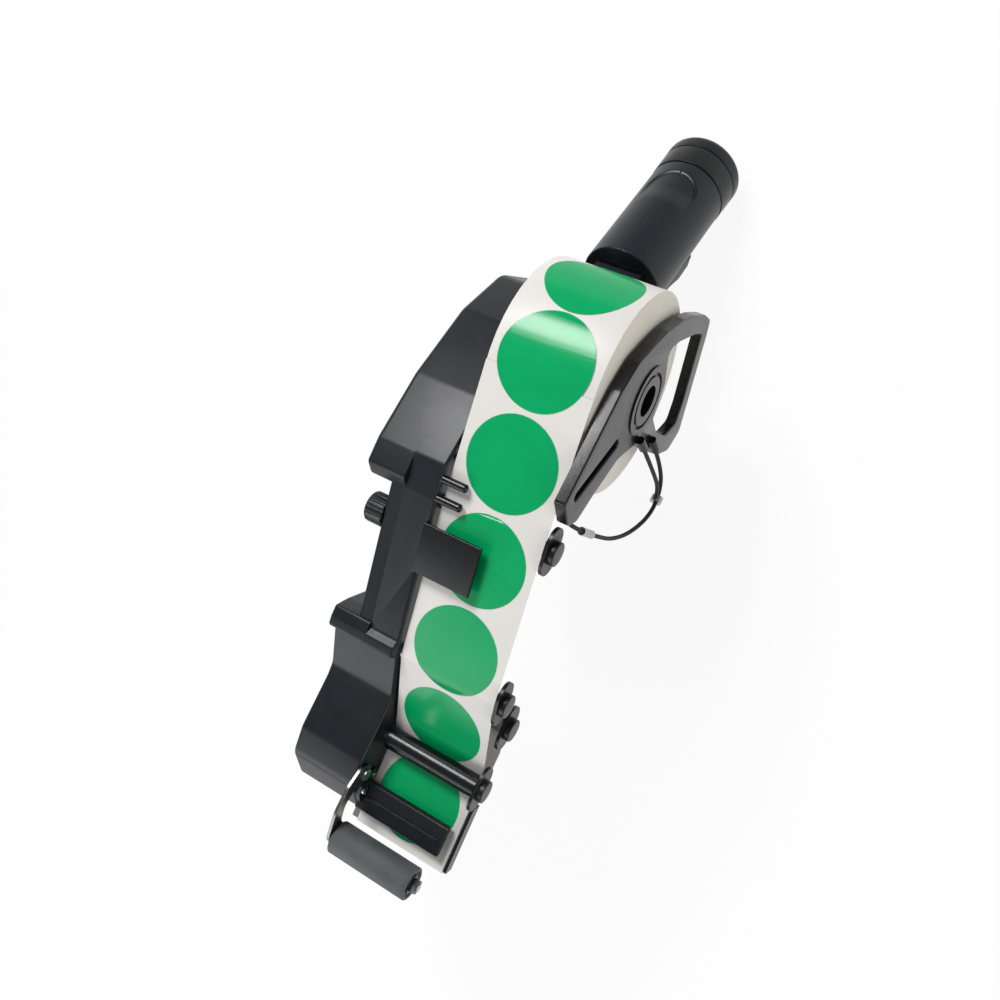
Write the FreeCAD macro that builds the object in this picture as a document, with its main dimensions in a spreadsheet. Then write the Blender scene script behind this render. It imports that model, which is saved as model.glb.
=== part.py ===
import FreeCAD, Part
import math
import os
import Sketcher
from FreeCAD import Matrix, Placement, Rotation, Vector

# Handheld label applicator. X runs across the label web, -Y is the feed direction and +Z is the side
# that the labels face. The origin is the axis of the label roll, midway across the web.

os.makedirs("parts", exist_ok=True)
doc = FreeCAD.newDocument("label_applicator")

SIZES = {
    "web_width": 59.0,
    "web_thick": 0.2,
    "label_dia": 50.0,
    "label_pitch": 53.0,
    "label_thick": 0.12,
    "roll_dia": 110.0,
    "core_bore": 30.2,
    "core_wall": 3.0,
    "spindle_dia": 29.6,
    "wall": 2.5,
    "web_gap": 1.5,
    "body_depth": 19.0,
    "neck_depth": 9.0,
    "cover_depth": 24.0,
    "grip_x": -18.0,
    "grip_dia": 47.0,
    "grip_length": 111.6,
    "lever_width": 16.0,
    "guide_shaft_dia": 8.0,
    "collar_hub_dia": 13.0,
    "collar_bore": 8.1,
    "flange_long": 26.0,
    "flange_short": 16.0,
    "flange_thick": 2.0,
    "front_roller_dia": 13.0,
    "drive_roller_dia": 16.0,
    "drive_shaft_dia": 6.0,
    "pinch_dia": 10.0,
    "press_dia": 19.0,
    "press_length": 51.5,
    "plate_thick": 1.2,
    "frame_thick": 6.0,
    "cord_dia": 2.4,
    "pinion_teeth": 15.0,
    "sector_module": 1.2,
    "gear_module": 1.0,
    "sector_radius": 36.0,
    "gear_radius": 24.0,
    "link_thick": 4.0,
    "crank_length": 40.0,
    "sector_crank": 13.33,
    "screw_dia": 2.6,
    "seat_gap": 0.15,
}

sheet = doc.addObject("Spreadsheet::Sheet", "sizes")
sheet.Label = "sizes"
for row, (alias, value) in enumerate(SIZES.items(), start=1):
    sheet.set("A%d" % row, alias)
    sheet.set("B%d" % row, "%g" % value)
    sheet.setAlias("B%d" % row, alias)
doc.recompute()


def size(alias):
    return float(sheet.get(alias))


web_half = size("web_width") / 2
roll_r = size("roll_dia") / 2
outer_x = web_half + size("web_gap")
inner_x = -outer_x
parting_x = inner_x - size("body_depth")
neck_x = parting_x - size("neck_depth")
cover_x = parting_x - size("cover_depth")
wall = size("wall")
gap = size("seat_gap")
grip_x = size("grip_x")
grip_r = size("grip_dia") / 2
shaft_r = size("guide_shaft_dia") / 2
screw_r = size("screw_dia") / 2
finished = []


def rounded(corners, radius=0.0):
    """Turn (y, z) or (y, z, radius) corners into line and arc edges of a closed loop."""
    count = len(corners)
    cut = []
    for index, corner in enumerate(corners):
        here = Vector(corner[0], corner[1], 0)
        before = corners[index - 1]
        after = corners[(index + 1) % count]
        r = corner[2] if len(corner) > 2 else radius
        a = Vector(before[0], before[1], 0) - here
        b = Vector(after[0], after[1], 0) - here
        turn = a.getAngle(b)
        if r <= 0 or turn > math.pi - 0.02:
            cut.append((here, None, here))
            continue
        reach = r / math.tan(turn / 2)
        start = here + a.normalize() * reach
        end = here + b.normalize() * reach
        to_centre = (a + b).normalize()
        middle = here + to_centre * (r / math.sin(turn / 2) - r)
        cut.append((start, middle, end))
    edges = []
    for index in range(count):
        start, middle, end = cut[index]
        if middle is not None:
            edges.append(Part.Arc(start, middle, end))
        following = cut[(index + 1) % count][0]
        if end.distanceToPoint(following) > 1e-6:
            edges.append(Part.LineSegment(end, following))
    return edges


def ring(y, z, radius):
    return [Part.Circle(Vector(y, z, 0), Vector(0, 0, 1), radius)]


class Piece:
    """One part: a PartDesign body built from sketches on its own origin planes."""

    def __init__(self, label, y=0.0, z=0.0):
        self.label = label
        self.body = doc.addObject("PartDesign::Body", label)
        self.body.Label = label
        self.body.Placement = Placement(Vector(0, y, z), Rotation())
        self.count = 0
        finished.append(self.body)

    def plane(self, role):
        return [item for item in self.body.Origin.OriginFeatures if item.Role == role][0]

    def sketch(self, loops, offset=0.0, role="YZ_Plane"):
        self.count += 1
        item = self.body.newObject("Sketcher::SketchObject", "%s_sketch_%d" % (self.label, self.count))
        item.AttachmentSupport = [(self.plane(role), "")]
        item.MapMode = "FlatFace"
        item.AttachmentOffset = Placement(Vector(0, 0, offset), Rotation())
        for loop in loops:
            item.addGeometry(loop, False)
        item.Visibility = False
        return item

    def check(self, feature, before, grows):
        feature.Refine = False
        doc.recompute()
        now = feature.Shape.Volume
        changed = now > before + 1e-3 if grows else now < before - 1e-3
        if not changed or not feature.Shape.isValid():
            raise RuntimeError("%s: %s did not change the solid" % (self.label, feature.Name))
        return feature

    def volume(self):
        tip = self.body.Tip
        return tip.Shape.Volume if tip is not None and not tip.Shape.isNull() else 0.0

    def pad(self, loops, low, high):
        before = self.volume()
        item = self.sketch(loops, low)
        pad = self.body.newObject("PartDesign::Pad", "%s_pad_%d" % (self.label, self.count))
        pad.Profile = item
        pad.Length = high - low
        self.check(pad, before, True)
        return pad

    def pocket(self, loops, low, high):
        before = self.volume()
        item = self.sketch(loops, high)
        pocket = self.body.newObject("PartDesign::Pocket", "%s_pocket_%d" % (self.label, self.count))
        pocket.Profile = item
        pocket.Length = high - low
        self.check(pocket, before, False)
        return pocket

    def turn(self, corners, radius=0.0):
        """Revolve an (x, r) outline about the body's X axis."""
        before = self.volume()
        item = self.sketch([rounded(corners, radius)], 0.0, "XY_Plane")
        feature = self.body.newObject("PartDesign::Revolution", "%s_turn_%d" % (self.label, self.count))
        feature.Profile = item
        feature.ReferenceAxis = (item, ["H_Axis"])
        feature.Angle = 360
        self.check(feature, before, True)
        return feature

    def fillet(self, radius, pick):
        shape = self.body.Tip.Shape
        names = ["Edge%d" % (i + 1) for i, edge in enumerate(shape.Edges) if pick(edge)]
        if not names:
            raise RuntimeError("%s: no edge to round" % self.label)
        base = self.body.Tip
        feature = self.body.newObject("PartDesign::Fillet", "%s_fillet_%d" % (self.label, self.count))
        feature.Base = (base, names)
        feature.Radius = radius
        doc.recompute()
        if feature.Shape.isNull() or not feature.Shape.isValid():
            raise RuntimeError("%s: the rounding failed" % self.label)
        return feature

    def bind(self, feature, prop, text):
        feature.setExpression(prop, text)
        doc.recompute()


def feature_part(label, shape, y=0.0, z=0.0):
    """A part whose shape needs Part functions: a sweep, a wrapped band or a group of like solids."""
    item = doc.addObject("Part::Feature", label)
    item.Label = label
    item.Shape = shape
    item.Placement = Placement(Vector(0, y, z), Rotation()).multiply(shape.Placement)
    finished.append(item)
    return item


def face_of(loops):
    """Face in the YZ plane from loops of (y, z) edges; the first loop is the outline."""
    to_yz = Matrix(0, 0, 1, 0, 1, 0, 0, 0, 0, 1, 0, 0, 0, 0, 0, 1)
    wires = []
    for loop in loops:
        wires.append(Part.Wire(Part.__sortEdges__([edge.toShape() for edge in loop])))
    face = Part.Face(wires[0])
    for wire in wires[1:]:
        face = face.cut(Part.Face(wire)).Faces[0]
    return face.transformGeometry(to_yz)


def prism(loops, low, high):
    face = face_of(loops)
    face.translate(Vector(low, 0, 0))
    return face.extrude(Vector(high - low, 0, 0))


def bar(y, z, radius, low, high):
    return Part.makeCylinder(radius, high - low, Vector(low, y, z), Vector(1, 0, 0))


GRIP_TOP = (54.4, -60.4)
GRIP_LEAN = math.radians(43.6)


def along(s, t):
    """Point of the side view from its place along the grip and its distance below the grip's axis."""
    return (GRIP_TOP[0] + s * math.cos(GRIP_LEAN) - t * math.sin(GRIP_LEAN),
            GRIP_TOP[1] - s * math.sin(GRIP_LEAN) - t * math.cos(GRIP_LEAN))


def edge_at_x(x):
    def pick(edge):
        box = edge.BoundBox
        return abs(box.XMin - x) < 1e-4 and abs(box.XMax - x) < 1e-4
    return pick


# Places of the turning axes in the side view, as (y, z).
GUIDE_A = (-80.5, 46.5)
GUIDE_B = (-169.0, 36.5)
GUIDE_C = (-191.0, 14.0)
FRONT = (-227.0, 22.3)
DRIVE = (-213.0, -6.0)
SECTOR = (-166.0, 24.0)
TRIGGER = (22.0, -78.0)
PRESS = (-282.8, 47.5)
ARM_ROOT = (-246.0, 38.0)
KNOB = (-99.0, 46.0)


def meshing_centre(first, second, radius_1, radius_2):
    """Centre of the gear that meshes with one gear at each given centre, on the lower side."""
    dy = second[0] - first[0]
    dz = second[1] - first[1]
    apart = math.hypot(dy, dz)
    run = (radius_1 ** 2 - radius_2 ** 2 + apart ** 2) / (2 * apart)
    rise = math.sqrt(radius_1 ** 2 - run ** 2)
    uy = dy / apart
    uz = dz / apart
    return (first[0] + run * uy - rise * uz, first[1] + run * uz + rise * uy)


teeth = size("pinion_teeth")
small_r1 = size("sector_module") * teeth / 2
small_r2 = size("gear_module") * teeth / 2
COMPOUND = meshing_centre(SECTOR, DRIVE, size("sector_radius") + small_r1, size("gear_radius") + small_r2)

# The housing in side view. Its rim follows the label web, and the wide rear and front ends are
# joined by a narrower neck.
RIM_REAR = [(37, -64, 6), (34.5, -20, 14), (12, 11, 14), (-25, 39.5, 14)]
RIM_FRONT = [(-165.5, 48.6, 2), (-171, 48.6, 1.5), (-173.5, 41, 1), (-199, 31.5, 8), (-207, 32.5, 8),
             (-237, 43, 12), (-254, 43.5, 10), (-276, 26, 14), (-276.5, -14, 10), (-262, -48, 14)]
BOTTOM_FRONT = [(-162, -48, 10)]
BOTTOM_NECK = [(-148, -12, 8), (-92, -4, 12)]
BOTTOM_REAR = [(-30, -62, 14), (10, -98, 10), (34, -98, 8)]

full_outline = (RIM_REAR + [(-60, 57.8, 6), (-79, 56.6, 3), (-162, 45.5, 2)] + RIM_FRONT
                + BOTTOM_FRONT + BOTTOM_NECK + BOTTOM_REAR)
rear_outline = RIM_REAR + [(-60, 57.3, 6), (-74, 60.8, 4), (-80, 55, 2), (-84, 40, 3), (-84, -6, 6)] + BOTTOM_REAR
front_outline = [(-157, 36, 2), (-159, 47, 2)] + RIM_FRONT + BOTTOM_FRONT + [(-149, -16, 6), (-155, 4, 4)]
neck_outline = [(-66, 57.2), (-79, 56.6), (-164, 45.2), (-176, 38), (-176, -24), (-158, -24), (-148, -12, 6),
                (-92, -4, 8), (-66, -28)]


def inset(corners, amount):
    """Corners of the outline moved inwards, with their radii."""
    points = [Vector(corner[0], corner[1], 0) for corner in corners]
    area = sum(a.x * b.y - a.y * b.x for a, b in zip(points, points[1:] + points[:1]))
    side = 1 if area > 0 else -1
    moved = []
    for index, point in enumerate(points):
        come = (point - points[index - 1]).normalize()
        go = (points[(index + 1) % len(points)] - point).normalize()
        first = Vector(-come.y, come.x, 0) * side
        second = Vector(-go.y, go.x, 0) * side
        shift = (first + second) * (amount / (1 + first.dot(second)))
        convex = (come.x * go.y - come.y * go.x) * side > 0
        radius = corners[index][2] if len(corners[index]) > 2 else 1.0
        radius = max(radius - amount, 0.8) if convex else radius + amount
        moved.append((point.x + shift.x, point.y + shift.y, radius))
    return moved


# Main body: the inner half of the housing, open towards the cover.
main = Piece("main_body")
pad = main.pad([rounded(full_outline)], parting_x, inner_x)
main.bind(pad, "Length", "sizes.body_depth")
main.fillet(1.6, edge_at_x(inner_x))
main.pocket([rounded(inset(full_outline, wall))], parting_x, inner_x - wall)

# Bosses for the cover screws, the gear posts, the guide shafts and the bushes.
SCREWS = [(27.5, -91), (-22, 20), (-68, 42), (-60, -24), (-150, 0.5), (-198, 23), (-264, 8), (-250, -34)]
inside = inner_x - wall
low_bosses = [ring(y, z, 6.0) for y, z in (DRIVE, COMPOUND, GUIDE_A, GUIDE_B, GUIDE_C, FRONT)]
main.pad(low_bosses, inside - 3, inside)
main.pad([ring(SECTOR[0], SECTOR[1], 6.0), ring(TRIGGER[0], TRIGGER[1], 7.5)], inside - 5, inside)
main.pad([ring(y, z, 3.6) for y, z in SCREWS], parting_x, inside)
main.pocket([ring(y, z, screw_r) for y, z in SCREWS], parting_x, inside - 0.5)

# Rib that the return spring stands on.
SPRING_Z = 27.0
SPRING_STOP = -123.0
rib = [(SPRING_STOP, 20.6), (SPRING_STOP, 35), (SPRING_STOP - 3, 35), (SPRING_STOP - 3, 20.6)]
main.pad([rounded(rib)], inside - 10, inside)

# Holes through the inner wall for shafts, posts, pins, the spindle stud and the web fittings.
drive_r = size("drive_shaft_dia") / 2
PINCH = (DRIVE[0], DRIVE[1] + size("drive_roller_dia") / 2 + size("pinch_dia") / 2 + 0.5)
PRONGS = [(-67.3, 54.8), (-77.9, 54.3)]
through = [ring(TRIGGER[0], TRIGGER[1], 5.0), ring(DRIVE[0], DRIVE[1], 4.5),
           ring(COMPOUND[0], COMPOUND[1], 2.5), ring(SECTOR[0], SECTOR[1], 3.0),
           ring(FRONT[0], FRONT[1], 3.0), ring(PINCH[0], PINCH[1], 2.5), ring(0, 0, 4.0),
           ring(-57, 43.5, 2.0)]
through += [ring(y, z, shaft_r) for y, z in (GUIDE_A, GUIDE_B, GUIDE_C)]
through += [ring(y, z, 2.3) for y, z in PRONGS]
main.pocket(through, inside - 5, inner_x)


def web_height(y):
    """Height of the label plate's top at a given place along the feed."""
    return 16.9 + (-236.0 - y) * 0.24


PLATE_FRONT = -280.6
PLATE_REAR = -236.0


def plate_corners(grow):
    thick = size("plate_thick")
    return [(PLATE_REAR + grow, web_height(PLATE_REAR) + grow),
            (PLATE_FRONT - grow, web_height(PLATE_FRONT) + grow),
            (PLATE_FRONT - grow, web_height(PLATE_FRONT) - thick - grow),
            (PLATE_REAR - thick - 1 - grow, web_height(PLATE_REAR) - thick - grow),
            (PLATE_REAR - thick - grow, web_height(PLATE_REAR) - 4.6 - grow),
            (PLATE_REAR + grow, web_height(PLATE_REAR) - 4.6 - grow)]


def hold_corners(grow):
    return [(-91.8 + grow, 53.8 - grow), (-91.8 + grow, 56.2 + grow), (-119.5 - grow, 53.2 + grow),
            (-119.5 - grow, 50.8 - grow)]


main.pocket([rounded(plate_corners(0.05))], inside, inner_x)
main.pocket([rounded(hold_corners(0.05))], inside, inner_x)
BAR_SCREWS = [(-257.5, 34.6), (-249.5, 28.9)]
main.pocket([ring(y, z, screw_r) for y, z in BAR_SCREWS + [ARM_ROOT]], inside, inner_x)

# Bridge that carries the grip behind the roll, and the lug for the trigger shaft.
ROOT = -4.0
bridge = [along(-22.5, 2) + (2,), along(-22.5, 19) + (2,), along(ROOT, 19) + (3,), along(ROOT, 2) + (3,)]
main.pad([rounded(bridge)], inside, grip_x + 12)
wide = [along(-22.5, -12) + (2,), along(-22.5, 19) + (2,), along(ROOT, 19) + (3,), along(ROOT, -12) + (3,)]
main.pad([rounded(wide)], grip_x - 14, grip_x + 14)
lever_half = size("lever_width") / 2
lug_x = grip_x + lever_half + 0.3
lug = [along(-20, 8) + (2,), along(-20.5, 37) + (7,), along(-11.5, 45) + (7,), along(ROOT - 0.2, 36) + (6,),
       along(ROOT - 0.05, 8) + (2,)]
main.pad([rounded(lug)], lug_x, lug_x + 5)
main.pocket([ring(TRIGGER[0], TRIGGER[1], 4.05)], lug_x, lug_x + 5)

# Side cover: the outer half of the housing, deep at both ends and shallow along the neck.
cover = Piece("side_cover")
cover.pad([rounded(neck_outline)], neck_x, parting_x)
cover.fillet(2.2, edge_at_x(neck_x))
pad = cover.pad([rounded(rear_outline)], cover_x, parting_x)
cover.bind(pad, "Length", "sizes.cover_depth")
cover.fillet(3.0, edge_at_x(cover_x))
pad = cover.pad([rounded(front_outline)], cover_x, parting_x)
cover.bind(pad, "Length", "sizes.cover_depth")
cover.fillet(1.6, lambda edge: edge_at_x(cover_x)(edge) and edge.BoundBox.YMax < -140)
cover.pocket([rounded(inset(neck_outline, wall))], neck_x + 2, parting_x)
cover.pocket([rounded(inset(rear_outline, wall + 0.6))], cover_x + 2.5, parting_x)
cover.pocket([rounded(inset(front_outline, wall + 0.6))], cover_x + 2.5, parting_x)
NECK_SCREW = (-150, 0.5)
deep = [place for place in SCREWS if place != NECK_SCREW]
cover.pad([ring(y, z, 4.3) for y, z in deep], cover_x + 1.5, parting_x)
cover.pad([ring(NECK_SCREW[0], NECK_SCREW[1], 4.3)], neck_x + 1.5, parting_x)
cover.pocket([ring(y, z, 3.0) for y, z in SCREWS], cover_x - 0.1, parting_x - 4)
cover.pocket([ring(y, z, screw_r + 0.3) for y, z in SCREWS], parting_x - 4, parting_x)
cover.pad([ring(DRIVE[0], DRIVE[1], 6.0)], cover_x + 2, neck_x)
cover.pocket([ring(DRIVE[0], DRIVE[1], 3.05)], neck_x - 4, neck_x)
cover.pocket([ring(KNOB[0], KNOB[1], 3.05)], neck_x, neck_x + 2)

screws = []
for y, z in SCREWS:
    shank = bar(y, z, screw_r, parting_x - 4, parting_x + 10)
    head = bar(y, z, 2.7, parting_x - 6, parting_x - 4)
    slot = Part.makeBox(1.0, 3.6, 0.8, Vector(parting_x - 6, y - 1.8, z - 0.4))
    screws.append(head.fuse(shank).cut(slot))
feature_part("cover_screws", Part.makeCompound(screws))

# Bushes in the inner wall.
bush = Piece("trigger_bush", *TRIGGER)
bush.turn([(inside - 5, 4.05), (inner_x, 4.05), (inner_x, 5.0), (inside - 5, 5.0)])
bush = Piece("drive_bush", *DRIVE)
bush.turn([(inside - 3, 3.05), (inner_x, 3.05), (inner_x, 4.5), (inside - 3, 4.5)])

# Label roll on its spindle, and the frame that keeps the roll in place.
spindle = Piece("roll_spindle")
bore_r = size("spindle_dia") / 2
spindle.turn([(inner_x - 10, 0), (inner_x - 10, 4), (inner_x, 4), (inner_x, 18), (-web_half - 0.3, 18),
              (-web_half - 0.3, bore_r), (web_half - 1, bore_r), (web_half - 0.2, bore_r - 0.8),
              (web_half - 0.2, 11.5), (inner_x + 9, 11.5), (inner_x + 9, 0)])
nut = Piece("spindle_nut")
nut.pad([[Part.LineSegment(Vector(7 * math.cos(math.radians(60 * k)), 7 * math.sin(math.radians(60 * k)), 0),
                           Vector(7 * math.cos(math.radians(60 * k + 60)), 7 * math.sin(math.radians(60 * k + 60)), 0))
          for k in range(6)], ring(0, 0, 4.0)], inside - 5, inside)
core_r = size("core_bore") / 2
core_out = core_r + size("core_wall")
core = Piece("roll_core")
core.turn([(-web_half, core_r), (web_half, core_r), (web_half, core_out), (-web_half, core_out)])
paper = Piece("label_roll")
paper.turn([(-web_half, core_out), (web_half, core_out), (web_half, roll_r), (-web_half, roll_r)])

frame = Piece("retainer_frame")
frame_low = outer_x + 0.5
frame_high = frame_low + size("frame_thick")
frame_outline = [(-52, 66, 2), (4, 43.5, 10), (19, 33, 8), (29, 18.5, 10), (36.5, 6, 10), (44, -13, 12),
                 (47.5, -30, 12), (49.5, -51, 10), (48, -64, 5), (38, -68.5, 4), (-4, -83, 4), (-19, -88, 6),
                 (-31, -78, 7), (-33, -60, 8), (-30, -38, 14), (-24, -10, 16), (-32, 12, 12), (-50, 30, 10),
                 (-63, 41, 5), (-64.5, 51, 6)]
window = [(27, -8, 4), (32.5, -21, 8), (38, -45, 8), (39, -57, 3), (-2, -71.5, 4), (-14, -73, 5), (-21, -60, 8),
          (-18, -40, 10), (-10, -24, 4), (10, -22, 8)]
slot = [(-19.5, 23.5, 2.3), (-24, 19.5, 2.3), (-52, 54, 2.3), (-47.5, 57.5, 2.3)]
pad = frame.pad([rounded(frame_outline), rounded(window), rounded(slot)], frame_low, frame_high)
frame.bind(pad, "Length", "sizes.frame_thick")
frame.fillet(0.9, edge_at_x(frame_high))
frame.pad([ring(0, 0, 19)], frame_low - 1.3, frame_high + 0.8)
frame.pocket([ring(0, 0, 8.5)], frame_high - 5.5, frame_high + 0.8)
frame.pocket([ring(0, 0, 15.5), ring(0, 0, 13.5)], frame_high - 0.4, frame_high + 0.8)
frame.pad([ring(0, 0, 11.3)], frame_low - 17.5, frame_low - 1.3)

# Two lugs on the frame's leg that hold the ends of the elastic loop.
LUG_ENDS = [(Vector(frame_high + 2.9, -27.4, -39.4), Vector(-4, 11.6, 15).normalize()),
            (Vector(frame_high + 2.9, -25.8, -16.1), Vector(-4, 14.2, 23.9).normalize())]
for number, (end, heading) in enumerate(LUG_ENDS, start=1):
    lug_solid = frame.body.newObject("PartDesign::AdditiveCylinder", "retainer_frame_lug_%d" % number)
    lug_solid.Radius = 2.4
    lug_solid.Height = 9.0
    lug_solid.Placement = Placement(end, Rotation(Vector(0, 0, 1), heading))
doc.recompute()


def path_tangents(circles):
    """Tangent lines of a band that runs past circles given as (y, z, signed radius)."""
    lines = []
    for first, second in zip(circles, circles[1:]):
        dy = second[0] - first[0]
        dz = second[1] - first[1]
        apart = math.hypot(dy, dz)
        lean = math.acos((second[2] - first[2]) / apart)
        base = math.atan2(dz, dy)
        ny = math.cos(base + lean)
        nz = math.sin(base + lean)
        lines.append((Vector(first[0] - ny * first[2], first[1] - nz * first[2], 0),
                      Vector(second[0] - ny * second[2], second[1] - nz * second[2], 0)))
    return lines


def path_side(circles, shift):
    """Edges and end points of the band's side that lies off its middle by shift."""
    moved = [(y, z, r - shift) for y, z, r in circles]
    lines = path_tangents(moved)
    edges = []
    for index, (start, end) in enumerate(lines):
        edges.append(Part.LineSegment(start, end))
        if index + 1 < len(lines):
            y, z, r = moved[index + 1]
            centre = Vector(y, z, 0)
            after = lines[index + 1][0]
            middle = (end - centre) + (after - centre)
            middle = centre + middle.normalize() * abs(r)
            edges.append(Part.Arc(end, middle, after))
    return edges, lines[0][0], lines[-1][1]


# The label web: from the roll over the guides, along the label plate, round its front edge and back
# between the drive and pinch rollers.
web_t = size("web_thick")
clear = gap + web_t / 2
nose = size("plate_thick") / 2
web_path = [(0, 0, roll_r + clear), (GUIDE_A[0], GUIDE_A[1], shaft_r + clear),
            (GUIDE_B[0], GUIDE_B[1], shaft_r + clear),
            (FRONT[0], FRONT[1], -(size("front_roller_dia") / 2 + clear)),
            (PLATE_FRONT, web_height(PLATE_FRONT) - nose, nose + clear),
            (PINCH[0], PINCH[1], size("pinch_dia") / 2 + clear),
            (GUIDE_C[0], GUIDE_C[1], shaft_r + clear), (-179.0, 20.0, -0.3)]
left, left_start, left_end = path_side(web_path, web_t / 2)
right, right_start, right_end = path_side(web_path, -web_t / 2)
band = left + right + [Part.LineSegment(left_start, right_start), Part.LineSegment(left_end, right_end)]
web = feature_part("label_web", prism([band], -web_half, web_half))


# Round labels: one band that lies on the web and over the top of the roll, cut to discs.
label_t = size("label_thick")
label_r = size("label_dia") / 2
pitch = size("label_pitch")
over_web = web_t / 2 + 0.02
inner_edge, inner_start, inner_end = path_side(web_path[:5], -over_web)
outer_edge, outer_start, outer_end = path_side(web_path[:5], -(over_web + label_t))
strip_loop = inner_edge + outer_edge + [Part.LineSegment(inner_start, outer_start),
                                        Part.LineSegment(inner_end, outer_end)]
strip = prism([strip_loop], -web_half, web_half)
lead = roll_r + clear + over_web
start_angle = math.atan2(inner_start.y, inner_start.x)


def crown(radius, first, last):
    """Thin shell over the roll between two angles."""
    shell = prism([ring(0, 0, radius + label_t), ring(0, 0, radius)], -web_half, web_half)
    middle = (first + last) / 2
    rays = [(0, 0)] + [(90 * math.cos(a), 90 * math.sin(a)) for a in (first, middle, last)]
    return shell.common(prism([rounded(rays)], -web_half, web_half))


def path_place(distance):
    """Point on the web and its outward normal, at a distance along the path from the roll."""
    rest = distance
    for edge in inner_edge:
        length = edge.length()
        if rest <= length:
            shape = edge.toShape()
            where = shape.getParameterByLength(rest)
            point = shape.valueAt(where)
            tangent = shape.tangentAt(where)
            return point, Vector(0, tangent.y, -tangent.x)
        rest -= length
    raise ValueError("the web is shorter than that")


def disc_cutter(y, z, normal):
    base = Vector(0, y, z) - normal * 12
    return Part.makeCylinder(label_r, 24, base, normal)


first_label = 44.0
lead_angle = start_angle + (first_label - pitch) / lead
carrier = strip.fuse(crown(lead, start_angle, start_angle - 0.75))
normal = Vector(0, math.cos(lead_angle), math.sin(lead_angle))
discs = [carrier.common(disc_cutter(lead * normal.y, lead * normal.z, normal))]
for number in range(5):
    point, normal = path_place(first_label + number * pitch)
    if normal.z < 0:
        normal = normal * -1
    discs.append(strip.common(disc_cutter(point.x, point.y, normal)))
feature_part("web_labels", Part.makeCompound([solid for disc in discs for solid in disc.Solids]))

on_roll = []
for number in range(1, 6):
    angle = lead_angle - number * pitch / lead
    normal = Vector(0, math.cos(angle), math.sin(angle))
    shell = crown(roll_r + 0.02, angle - 0.55, angle + 0.55)
    on_roll.append(shell.common(disc_cutter(roll_r * normal.y, roll_r * normal.z, normal)))
feature_part("roll_labels", Part.makeCompound([solid for disc in on_roll for solid in disc.Solids]))

# Guides for the web: three plain shafts, the front roller and the collars that hold the web's edge.
shaft_end = outer_x + 4
hub_end = shaft_end + 1.4
shafts = [bar(y, z, shaft_r, inside - 3, shaft_end) for y, z in (GUIDE_A, GUIDE_B, GUIDE_C)]
feature_part("guide_shafts", Part.makeCompound(shafts))
front_shaft = Piece("front_shaft", *FRONT)
front_shaft.turn([(inside - 3, 0), (shaft_end, 0), (shaft_end, 3.0), (inside - 3, 3.0)])
front_r = size("front_roller_dia") / 2
front_roller = Piece("front_roller", *FRONT)
roller_low = inner_x + 3
roller_high = outer_x - 0.4
front_roller.turn([(roller_low, 3.05), (roller_high, 3.05), (roller_high, front_r, 0.4), (roller_low, front_r, 0.4)])


def collar(y, z, lean, bore):
    """Edge guide: an oval flange with a round hub, leaning with the web."""
    long_r = size("flange_long") / 2
    short_r = size("flange_short") / 2
    flat = long_r - short_r
    uy = math.cos(lean)
    uz = math.sin(lean)
    corners = []
    for a, b in ((-1, -1), (1, -1), (1, 1), (-1, 1)):
        corners.append((y + a * (flat + short_r) * uy - b * short_r * uz,
                        z + a * (flat + short_r) * uz + b * short_r * uy, short_r * 0.99))
    flange = prism([rounded(corners)], outer_x, outer_x + size("flange_thick"))
    hub = bar(y, z, size("collar_hub_dia") / 2, outer_x, hub_end)
    solid = flange.fuse(hub).removeSplitter().cut(bar(y, z, bore, outer_x - 1, shaft_end + 0.2))
    rim = [edge for edge in solid.Edges if abs(edge.BoundBox.XMin - hub_end) < 1e-4 and edge.Length > 30]
    return solid.makeFillet(0.6, rim)


collar_bore = size("collar_bore") / 2
collars = [collar(GUIDE_A[0], GUIDE_A[1], 0.09, collar_bore), collar(GUIDE_B[0], GUIDE_B[1], 0.25, collar_bore),
           collar(GUIDE_C[0], GUIDE_C[1], -0.2, collar_bore)]
feature_part("guide_collars", Part.makeCompound(collars))
feature_part("front_collar", collar(FRONT[0], FRONT[1], -0.35, 3.05))

PRONG_END = inner_x + 14
prongs = []
for y, z in PRONGS:
    rod = bar(y, z, 2.28, inside, PRONG_END)
    tip = [edge for edge in rod.Edges if edge_at_x(PRONG_END)(edge)]
    prongs.append(rod.makeFillet(1.4, tip))
feature_part("guide_prongs", Part.makeCompound(prongs))

hold = Piece("hold_down_plate")
hold.pad([rounded(hold_corners(0), 0.5)], inside, 0.7)

plate = Piece("label_plate")
corners = plate_corners(0)
plate.pad([rounded([corners[0] + (1.0,), corners[1] + (0.55,), corners[2] + (0.55,), corners[3],
                    corners[4], corners[5]])], inside, outer_x)

edge = Piece("edge_wall")
front_y = PLATE_FRONT + 1.8
edge.pad([rounded([(-240.4, web_height(-240.4) - 3.5), (-240.4, web_height(-240.4) + 4.2, 2.5),
                   (front_y, web_height(front_y) + 4.2, 1.5), (front_y, web_height(front_y) - 3.5, 1.0)])],
         outer_x, outer_x + 1.8)

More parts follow.
